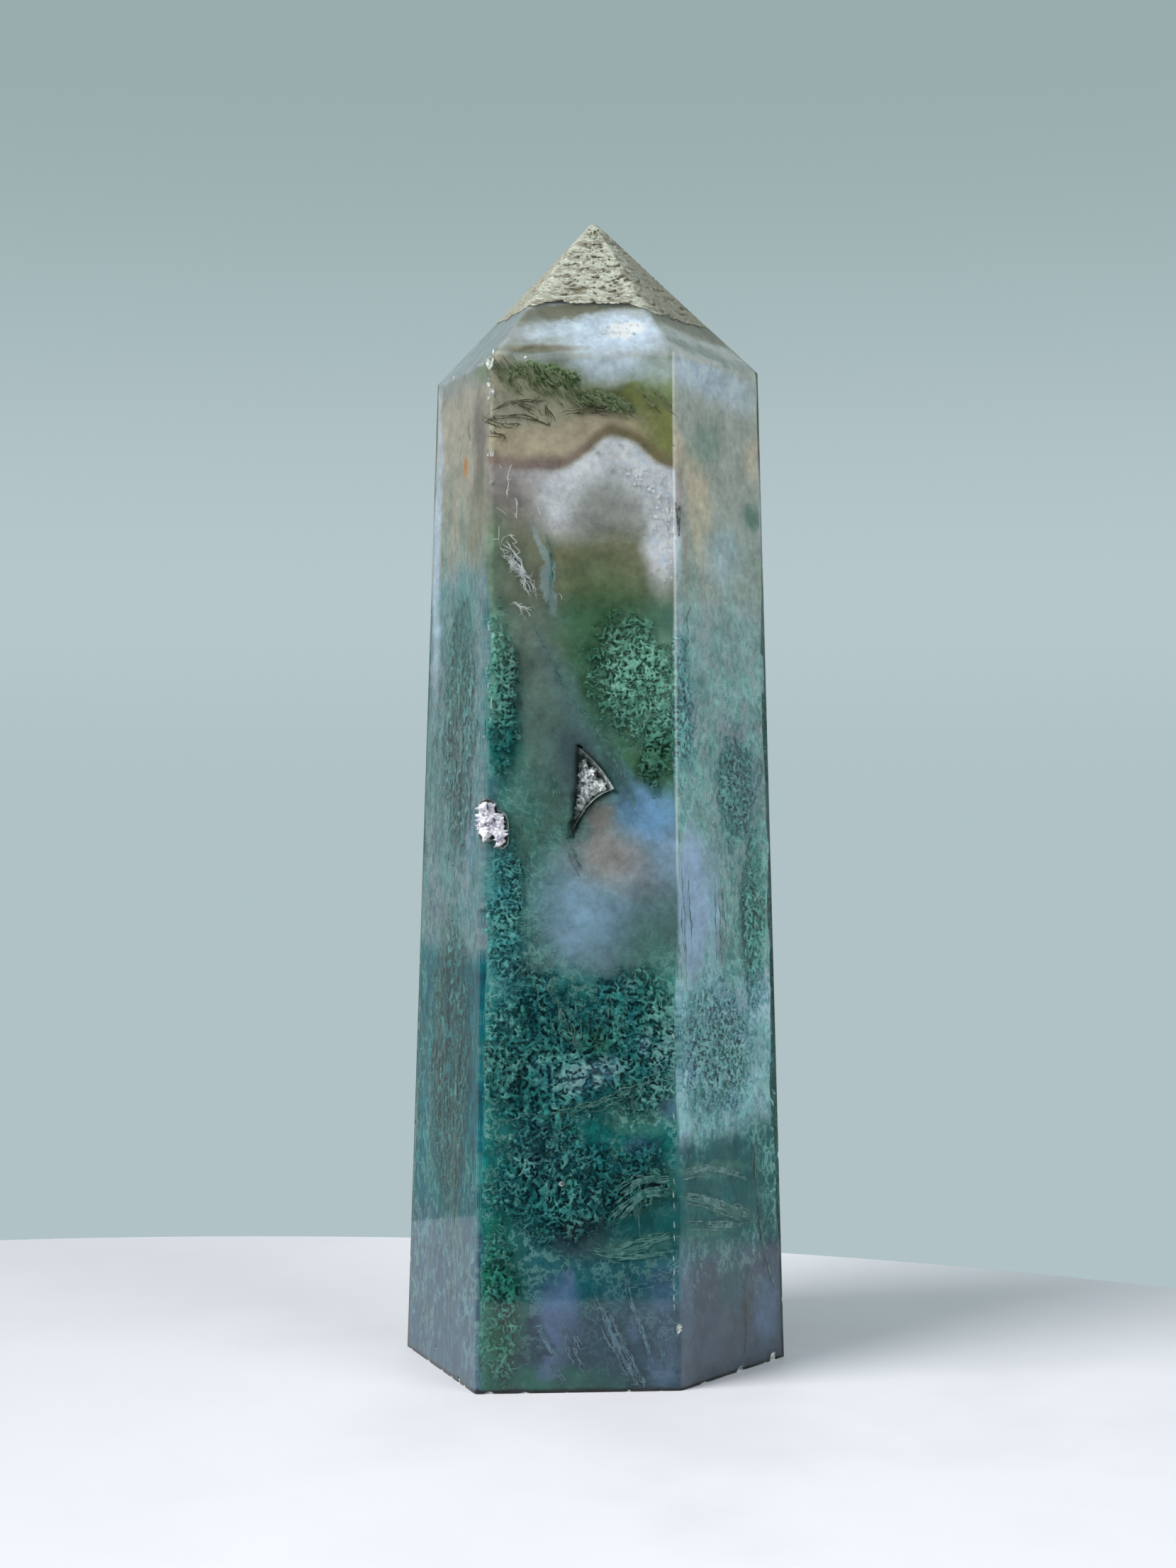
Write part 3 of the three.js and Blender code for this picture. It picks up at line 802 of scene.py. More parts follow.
def moss():
    """The moss: pale near the skin and dark further in, as painted light and shade by depth."""
    material, graph, at = new_material("moss")
    depth = graph.node("ShaderNodeAttribute", {"attribute_name": DEPTH}, output=2)
    grain = graph.noise(at, 1.2, 4.0, 0.65)
    local = inside_colour(graph, at)
    front, right = (facet_flat(graph, at, facet) for facet in ("front", "right"))
    by_front, by_right = (near(graph, at, facet) for facet in ("front", "right"))
    tufts = graph.patch(front, Patch("front", -4.0, 84.4, 8.0, 3.0, -12, soft=0.3)) * by_front
    drifted = graph.drift(front, 0.8, 1.5)
    pale = graph.patch(drifted, Patch("front", -1.4, 26.2, 2.8, 1.2, 18, soft=0.5)) * by_front
    low = graph.patch(front, Patch("front", -3.0, 22.0, 10.0, 15.0, soft=0.2)) * by_front
    low_right = graph.patch(right, Patch("right", 0.0, 27.6, 7.0, 7.0, soft=0.3)) * by_right
    pale_tip = graph.smooth(graph.noise(at, 0.5, 4.0, 0.6), 0.42, 0.62)
    # Painted light: the tips near the skin are painted paler and brighter
    tip = graph.layers(
        local * 1.5,
        (graph.mix(LACE_PAINT, PALE_LACE, pale_tip), 0.4),
        (seen(170, 196, 196), low_right * 0.6),
        (seen(150, 162, 126), tufts),
        (seen(156, 184, 184), pale * 0.8),
    )
    # Painted shade: the moss further in is painted darker, most of all low on the front
    shade = graph.mix(opaque((0.72, 0.88, 0.88)), opaque((0.34, 0.66, 0.78)), low)
    deep = graph.mix(local * shade, seen(108, 126, 86), tufts)
    colour = graph.mix(tip, deep, graph.smooth(depth + (grain - 0.5) * 2.4, 0.2, 0.95))
    return finish_material(material, graph, colour * (0.88, 1.0, 1.0), 0.6, DULL)


def polished_agate():
    """The polished, see-through skin of the agate, milky on its sides."""
    material, graph, at = new_material("polished_agate")
    glass = {"Base Color": opaque((0.97, 0.99, 0.98)), "Roughness": POLISH_ROUGHNESS, "IOR": STONE_IOR}
    clear = graph.node("ShaderNodeBsdfPrincipled", {}, {**glass, "Transmission Weight": 1.0})
    milky = {"Base Color": paint(176, 192, 198), "Roughness": 0.1, "IOR": STONE_IOR}
    veil = graph.node("ShaderNodeBsdfPrincipled", {}, milky)
    side = graph.smooth(graph.below(at, "front"), 0.0, 0.7)
    streaks = graph.noise(graph.drift(at, 0.3, 1.5) * (1, 1, 0.3), 0.5, 4.0, 0.6)
    milk = graph.smooth(streaks, 0.4, 0.7) * side * MILKINESS
    surface = graph.node("ShaderNodeMixShader", {}, {0: milk, 1: clear, 2: veil})
    absorbed = {"Color": opaque((0.55, 0.82, 0.78)), "Density": 40.0}
    volume = graph.node("ShaderNodeVolumeAbsorption", {}, absorbed)
    graph.node("ShaderNodeOutputMaterial", {}, {"Surface": surface, "Volume": volume})
    return material


def broken_agate():
    """Nicked and unpolished stone."""
    material, graph, at = new_material("broken_agate")
    grain = graph.noise(at, 2.5, 4.0)
    colour = graph.mix(paint(118, 134, 130), paint(206, 214, 212), graph.smooth(grain, 0.46, 0.66))
    return finish_material(material, graph, colour, 0.4)


HOLLOW = "hollow"  # how deep each point of the rock lies in a pit, from 0 to 1, which darkens its paint as painted shade


def host_rock():
    """The pale rock of the tip, with painted shade in its pits."""
    material, graph, at = new_material("host_rock")
    layered = graph.drift(at, 0.8, 0.6) * (1, 1, 3)
    coarse = graph.noise(layered, 0.6, 4.0, 0.6)
    grain = graph.noise(layered, 2.4, 5.0, 0.7)
    right = graph.smooth(graph.below(at, "crown_front"), 0.5, 1.4)
    hollow = graph.node("ShaderNodeAttribute", {"attribute_name": HOLLOW}, output=2)
    colour = graph.layers(
        paint(120, 119, 105),
        (paint(164, 171, 159), graph.smooth(coarse, 0.36, 0.6)),
        (paint(206, 213, 205), graph.smooth(grain, 0.5, 0.7) * 0.8),
        (paint(116, 112, 94), graph.smooth(grain, 0.46, 0.32) * 0.6),
        (paint(112, 108, 92), right * graph.smooth(coarse, 0.3, 0.6) * 0.55),
        # Painted shade: the deeper in a pit, the darker
        (paint(104, 98, 78), graph.smooth(hollow, 0.1, 0.9) * 0.75),
    )
    return finish_material(material, graph, colour, 0.8)


def quartz(name, dark, pale, roughness=0.2, gloss=0.5):
    """Quartz that glints, or matt threads."""
    material, graph, at = new_material(name)
    grain = graph.noise(at, 1.8, 4.0, 0.6)
    colour = graph.mix(paint(*dark), paint(*pale), graph.smooth(grain, 0.35, 0.62))
    return finish_material(material, graph, colour, roughness, gloss)


def slab_material(colour):
    """The pale slab."""
    material, graph, at = new_material("slab")
    cloud = graph.noise(at, 0.02, 5.0)
    veins = graph.ridges(graph.drift(at, 0.03, 12.0, 4.0), 0.02, 4.0, 0.6)
    left = graph.smooth(graph.split(at)[0], 10.0, -90.0)
    layers = ((0.95, graph.smooth(cloud, 0.4, 0.65)), (1.08, veins * 0.5), (0.8, left))
    layers = [(opaque(tuple(min(c * light, 1) for c in colour)), share) for light, share in layers]
    return finish_material(material, graph, graph.layers(opaque(colour), *layers), 0.5)


# Round forms made ring by ring


def ring_mesh(name, rings, material=None):
    """A closed skin over rings of equal length, each an array of points, with a cap at both ends."""
    count = len(rings[0])
    faces = []
    for row in range(len(rings) - 1):
        low, high = row * count, (row + 1) * count
        for column in range(count):
            beside = (column + 1) % count
            faces.append((low + column, low + beside, high + beside, high + column))
    faces.append(tuple(reversed(range(count))))
    faces.append(tuple((len(rings) - 1) * count + column for column in range(count)))
    mesh = bpy.data.meshes.new(name)
    mesh.from_pydata(np.concatenate(rings).tolist(), [], faces)
    all_smooth(mesh)
    if material:
        mesh.materials.append(material)
    return mesh


def ring(angle, radius, height):
    """Points round the axis."""
    return np.stack([radius * np.cos(angle), radius * np.sin(angle), height + 0 * angle], axis=-1)


def noise_at(points, size, seed=0):
    """Smooth noise from -1 to 1 at each point, with features of about this size."""
    place = points / size
    cell = np.floor(place)
    local = place - cell
    fade = local * local * (3 - 2 * local)
    total = np.zeros(len(points))
    for corner in itertools.product((0, 1), repeat=3):
        x, y, z = (cell + corner).astype(np.int64).T
        mixed = x * 73856093 ^ y * 19349663 ^ z * 83492791 ^ int(seed) * 2654435761
        mixed = (mixed ^ (mixed >> 13)) * 1274126177 & 0xFFFFFFFF
        value = ((mixed >> 8) & 0xFFFF) / 32767.5 - 1
        total += np.prod(np.where(corner, fade, 1 - fade), axis=-1) * value
    return total


def drift_at(points, size, seed):
    """A shift of each point along each axis, by smooth noise from -1 to 1."""
    return np.stack([noise_at(points, size, seed + axis) for axis in range(3)], axis=-1)


# The edge of the rock on each facet of the point, from the front one round towards +X, in millimetres
ROCK_EDGE = (91.8, 90.7, 90.2, 91.0, 91.6, 91.2)
ROCK_TEETH = ((0.22, 1.1), (0.16, 0.35), (0.1, 0.15))  # how high and how wide its teeth are, in millimetres


def rock_edge(angle):
    """The ragged height of the rock's lower edge, in metres."""
    facets = np.array([math.atan2(normal.y, normal.x) for normal, _ in FORM.point])
    weights = np.exp(14 * np.cos(np.subtract.outer(angle, facets)))
    edge = (weights * np.array(ROCK_EDGE)).sum(axis=-1) / weights.sum(axis=-1)
    round_line = ring(angle, 8.0, edge)
    ragged = sum(rise * noise_at(round_line, size) for rise, size in ROCK_TEETH)
    return (edge + ragged) * MM


def rock_under(angle, edge, share):
    """A ring of the rock's underside, at a share of the way out from the axis."""
    middle = edge.mean() + 0.3 * MM
    return ring(angle, share * FORM.radius(angle, edge, 0), middle + (edge - middle) * min(share, 1) ** 2)


# Operators


SHARP_ANGLE = math.radians(38)
ROCK_BED = 89.5 * MM  # no face above this height is a nick
SUNK = 0.09 * MM  # a face further below the facets than this is a nick
TURNED = 0.8  # and so is one whose normal is less like that of every facet
ROCK_GAP = 0.12 * MM  # how far above the rock's edge the skin is cut
CUT_SIZE = 14 * MM  # how wide and high the cutter reaches


class AGATE_OT_skin(bpy.types.Operator):
    """Make the polished skin of the stone"""

    bl_idname = "agate.skin"
    bl_label = "Polished skin"

    def execute(self, context):
        piece = fresh_object("polished_agate", named_mesh("polished_agate", merged("tower")))
        self.cut_tip(piece)
        mesh = piece.data
        mesh.materials.clear()
        mesh.materials.append(polished_agate())
        mesh.materials.append(broken_agate())
        mesh.set_sharp_from_angle(angle=SHARP_ANGLE)
        for polygon in mesh.polygons:
            broken = self.is_broken(polygon, np.array(polygon.center))
            polygon.use_smooth = bool(broken)
            polygon.material_index = int(broken)
        finish_piece(piece, "agate", "tower")
        return {"FINISHED"}

    def is_broken(self, polygon, centre):
        """Whether a face lies in a nick, a pocket or the cleft, and not on a facet or the base."""
        if polygon.normal.z < -0.9 or centre[2] > ROCK_BED:
            return False
        turned = (FORM.normals @ np.array(polygon.normal)).max() < TURNED
        return turned or FORM.depth(centre) > SUNK

    def cut_tip(self, piece):
        """Takes the tip off along the rock's edge."""
        angle = np.linspace(0, math.tau, INSIDE_GRID[0], endpoint=False)
        edge = rock_edge(angle) + ROCK_GAP
        rings = [rock_under(angle, edge, share) for share in (0.02, 0.4, 0.8, 1.0, 1.2)]
        rings += [ring(angle, CUT_SIZE, edge + CUT_SIZE), ring(angle, 0.1 * MM, edge + CUT_SIZE + MM)]
        cutter = fresh_object("rock_room", ring_mesh("rock_room", rings))
        cut = piece.modifiers.new("cut", "BOOLEAN")
        cut.operation, cut.solver, cut.object = "DIFFERENCE", "EXACT", cutter
        plain_mesh(piece)
        bpy.data.objects.remove(cutter)


class AGATE_OT_inside(bpy.types.Operator):
    """Make the clouded inside of the stone"""

    bl_idname = "agate.inside"
    bl_label = "Clouded inside"

    def execute(self, context):
        mesh = inside_mesh(context.scene.agate_stone)
        mesh.materials.append(cloudy_agate())
        finish_piece(fresh_object("cloudy_agate", mesh), "agate", "tower")
        return {"FINISHED"}


def inside_mesh(look, above_inside=0.0):
    """A closed skin below the facets, deeper where moss grows and behind the pockets."""
    columns, rows = INSIDE_GRID
    angle = np.linspace(0, math.tau, columns, endpoint=False)
    heights = np.repeat(np.linspace(INSIDE_FOOT, INSIDE_TOP, rows), columns)
    angles = np.tile(angle, rows)
    skin = look.skin - above_inside
    outer = ring(angles, FORM.radius(angles, heights, skin, INSIDE_ARRIS), heights)
    below = np.sort(FORM.below(outer), axis=-1)
    fill = 0.6 * (1 - np.clip((below[:, 1] - below[:, 0]) / ARRIS_WIDTH, 0, 1))
    radius = FORM.radius(angles, heights, (skin * (1 - fill))[:, None], INSIDE_ARRIS)
    points = ring(angles, radius, heights)
    bumps = 0.5 + 0.5 * noise_at(points, 1.6 * MM) + 0.3 * noise_at(points, 0.6 * MM)
    sink = bumps * look.bumps * (1 - fill) + moss_room(points) * look.moss_room
    points[:, :2] *= np.clip(1 - sink / radius, 0.05, 1)[:, None]
    clear_pockets(points)
    return ring_mesh("cloudy_agate", points.reshape(rows, columns, 3))


INSIDE_GRID = (240, 380)  # points round the inside, and rings up it
INSIDE_FOOT = 0.12 * MM
INSIDE_TOP = 91.6 * MM  # the inside ends here, within the rock
INSIDE_ARRIS = 90  # how sharp its arrises are
ARRIS_WIDTH = 1.2 * MM  # how far from an arris the cloudy inside comes closer to the facets


def moss_room(points):
    """Where the inside makes room for moss, from 0 to 1."""
    moved = points / MM + 1.2 * drift_at(points, 3 * MM, 11)
    return np.max([patch.cover(moved) for bed in MOSS_BEDS for patch in bed.patches], axis=0)


def clear_pockets(points):
    """Moves points that lie in a pocket, or close to its wall, towards the axis."""
    solid = merged("tower")
    tree = BVHTree.FromBMesh(solid)
    solid.free()
    for node in ("front_pocket_crystals", "edge_pocket_crystals"):
        low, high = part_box(node)
        away = np.linalg.norm(points - np.array((low + high) / 2), axis=1)
        for index in np.flatnonzero(away < POCKET_REACH):
            point = Vector(points[index])
            for _ in range(STEPS_IN):
                place, normal, _, _ = tree.find_nearest(point)
                if (point - place).dot(normal) < -WALL:
                    break
                point.xy *= 1 - STEP_IN / point.xy.length
            points[index] = point


WALL = 0.22 * MM  # how thick the clear stone round a pocket is at least
POCKET_REACH = 5 * MM  # how far from a pocket's middle the inside may be moved
STEP_IN, STEPS_IN = 0.1 * MM, 40  # how far it moves at a time, and how often at most


class GrowTree:
    """A Geometry Nodes tree with named inputs, and the modifier that it is run by."""

    def __init__(self, name, values, takes_mesh=False):
        self.tree = bpy.data.node_groups.new(name, "GeometryNodeTree")
        face = self.tree.interface
        face.new_socket("Geometry", in_out="OUTPUT", socket_type="NodeSocketGeometry")
        if takes_mesh:
            face.new_socket("Geometry", in_out="INPUT", socket_type="NodeSocketGeometry")
        self.values = []
        for label, (kind, value) in values.items():
            made = face.new_socket(label, in_out="INPUT", socket_type="NodeSocket" + kind)
            self.values.append((made, value))
        self.graph = Graph(self.tree)
        given = self.tree.nodes.new("NodeGroupInput")
        self.inputs = {made.name: Wire(self.graph, made) for made in given.outputs if made.name}

    def grow(self, piece, geometry, material):
        """Ends the tree in real, painted geometry, runs it on a piece and leaves the plain mesh."""
        whole = self.graph.node("GeometryNodeRealizeInstances", {}, {0: geometry})
        painted = self.graph.node("GeometryNodeSetMaterial", {}, {0: whole, "Material": material})
        self.graph.node("NodeGroupOutput", {}, {0: painted})
        made = piece.modifiers.new("grow", "NODES")
        made.node_group = self.tree
        for socket, value in self.values:
            made[socket.identifier] = value
        return plain_mesh(piece)


LOWEST_MOSS, HIGHEST_MOSS = 0.3, 90.0  # heights in millimetres


class AGATE_OT_moss(bpy.types.Operator):
    """Grow the moss under the skin, as porous beds"""

    bl_idname = "agate.moss"
    bl_label = "Moss"

    def execute(self, context):
        material = moss()
        for bed in MOSS_BEDS:
            piece = self.grow(bed, material)
            all_smooth(piece.data)
            write_layer(piece.data, DEPTH, FORM.depth(points_of(piece.data)) / MM)
            finish_piece(piece, "agate", "tower")
        return {"FINISHED"}

    def grow(self, bed, material):
        """Fills the bed's box with a field of strands, and takes its surface as a mesh."""
        low, high = self.box(bed)
        tree = GrowTree(
            bed.name,
            {
                "Low corner": ("Vector", low),
                "High corner": ("Vector", high),
                "Voxel": ("Float", bed.voxel * MM),
                "Strand size": ("Float", bed.strand),
                "Strand thickness": ("Float", bed.thickness),
                "Drawn out": ("Vector", bed.drawn),
                "Fill": ("Float", bed.fill),
                "Nearest depth": ("Float", 0.14),
                "Farthest depth": ("Float", 1.35),
            },
        )
        piece = fresh_object(bed.name, bpy.data.meshes.new(bed.name))
        return tree.grow(piece, self.strands(tree, bed), material)

    def box(self, bed):
        """The box round the bed's patches, a little larger, in metres."""
        corners = []
        for patch in bed.patches:
            size = max(patch.wide, patch.tall if patch.turn else 0) + 1.5
            for level in (patch.level - size, patch.level + size):
                for height in (patch.height - patch.tall - 2.0, patch.height + patch.tall + 2.0):
                    height = min(max(height, LOWEST_MOSS), HIGHEST_MOSS)
                    corners += [FORM.on_facet(bed.facet, level, height, depth) for depth in (0.0, 1.5)]
        return [c * MM for c in np.min(corners, axis=0)], [c * MM for c in np.max(corners, axis=0)]

    def strands(self, tree, bed):
        """The surface where sheets and strands of noise are thick enough, between two depths."""
        graph, inputs = tree.graph, tree.inputs
        at = graph.node("GeometryNodeInputPosition") * (1 / MM)
        grain = graph.noise(at * inputs["Drawn out"], inputs["Strand size"], 4.0, 0.6, 0.9)
        cover = bed_cover(graph, at, bed)
        clumps = graph.noise(at, 0.6, 4.0, 0.6)
        growth = cover + clumps * inputs["Fill"] * 2 - 1.0
        strand = inputs["Strand thickness"] * graph.smooth(growth, -0.3, 0.5) - abs(grain - 0.5)
        below = {facet: graph.below(at, facet) for facet in FACETS}
        depth = functools.reduce(Wire.least, below.values())
        tops = graph.smooth(graph.noise(at, 0.9, 4.0, 0.65), 0.35, 0.65) * 0.55
        shell = (depth - inputs["Nearest depth"] - tops).least(inputs["Farthest depth"] - depth)
        shell = shell.least(depth - below[bed.facet] + 0.1) * 0.4
        field = (strand.least(growth * 0.3).least(shell) * 6 + 0.5).most(0)
        counts = graph.split(inputs["High corner"] - inputs["Low corner"])
        values = {"Density": field, "Min": inputs["Low corner"], "Max": inputs["High corner"]}
        for axis, length in zip("XYZ", counts):
            values["Resolution " + axis] = length / inputs["Voxel"]
        cube = graph.node("GeometryNodeVolumeCube", {}, values)
        return graph.node("GeometryNodeVolumeToMesh", {}, {"Volume": cube, "Threshold": 0.5})


def strewn(tree, density, crystal, sizes, turn=None):
    """Copies of a crystal at random places on the tree's mesh, upright on it or turned at random."""
    graph, seed = tree.graph, tree.inputs["Seed"]
    values = {"Mesh": tree.inputs["Geometry"], "Density": density * 1e6, "Seed": seed}
    points = graph.node("GeometryNodeDistributePointsOnFaces", {}, values)
    if turn:
        random = {0: [-angle for angle in turn], 1: turn, "Seed": seed}
        turned = graph.node("FunctionNodeRandomValue", {"data_type": "FLOAT_VECTOR"}, random)
    else:
        turned = Wire(graph, points.socket.node.outputs["Rotation"])
    random = {2: sizes[0], 3: sizes[1], "Seed": seed}
    size = graph.node("FunctionNodeRandomValue", {"data_type": "FLOAT"}, random, output=1)
    values = {"Points": points, "Instance": crystal, "Rotation": turned, "Scale": size}
    return graph.node("GeometryNodeInstanceOnPoints", {}, values)


def crystal_tree(name, size, density, seed):
    """A tree with the inputs that all crystals have."""
    values = {"Crystal size": ("Float", size * MM), "Crystals per mm2": ("Float", density)}
    return GrowTree(name, {**values, "Seed": ("Int", seed)}, takes_mesh=True)


GRAIN_LIFT = 0.12 * MM  # how far above the clouded inside the grains lie

QUARTZ_PATCHES = (
    Patch("crown_front", 1.9, 88.9, 1.5, 0.6, 12),
    Patch("front", 5.3, 73.2, 0.9, 3.2, 8),
    Patch("front", 3.6, 76.0, 1.6, 0.8, -30),
    Patch("right", -5.1, 71.8, 0.6, 4.2),
)


class AGATE_OT_grains(bpy.types.Operator):
    """Scatter quartz grains under the skin"""

    bl_idname = "agate.grains"
    bl_label = "Quartz grains"

    def execute(self, context):
        material = quartz("quartz_grains", (228, 234, 246), (254, 254, 255))
        mesh = inside_mesh(context.scene.agate_stone, GRAIN_LIFT)
        self.mark(mesh)
        piece = self.scatter(fresh_object("quartz_grains", mesh), material, 0.36, 4.0)
        finish_piece(piece, "agate", "tower")
        return {"FINISHED"}

    def mark(self, mesh):
        """Writes how thickly grains lie at each point."""
        points = points_of(mesh) / MM
        moved = points + 0.5 * drift_at(points, 0.9, 21)
        write_layer(mesh, "cover", np.max([patch.cover(moved) for patch in QUARTZ_PATCHES], axis=0))

    def scatter(self, piece, material, size, density):
        """Small facetted grains where the surface is marked."""
        tree = crystal_tree(piece.name, size, density, 4)
        graph, inputs = tree.graph, tree.inputs
        cover = graph.node("GeometryNodeInputNamedAttribute", {"data_type": "FLOAT"}, {"Name": "cover"})
        shape = {"Radius": inputs["Crystal size"] * 0.5, "Subdivisions": 1}
        grain = graph.node("GeometryNodeMeshIcoSphere", {}, shape)
        grown = strewn(tree, cover * inputs["Crystals per mm2"], grain, (0.5, 1.3), (0.6, 0.6, 3.1))
        return tree.grow(piece, grown, material)


# A bundle of fine lines, in millimetres: the level places and heights that it runs through, how many lines
# it has, how far apart, thick, wavering and deep they are, and how many twigs grow from them
THREAD_VALUES = "facet places copies spread thick waver depth twigs"
Thread = namedtuple("Thread", THREAD_VALUES, defaults=(1, 0.0, 0.05, 0.25, 0.2, 0))

# The white dashes down the front's two arrises, each from its upper to its lower end
LEFT_ARRIS = [
    ((0.015 * z - 10.55, z + 0.5), (0.015 * z - 10.55, z))
    for z in (86.4, 85.2, 83.5, 82.8, 81, 79.8, 78.4, 77.8, 63.2, 58.4)
]
RIGHT_ARRIS = [
    ((5.68, z + 0.6), (5.74, z))
    for z in (31.2, 29, 22.4, 17, 15.9, 15, 13.4, 12.3, 10.6, 9.5, 8.2, 7.4, 6.6)
]

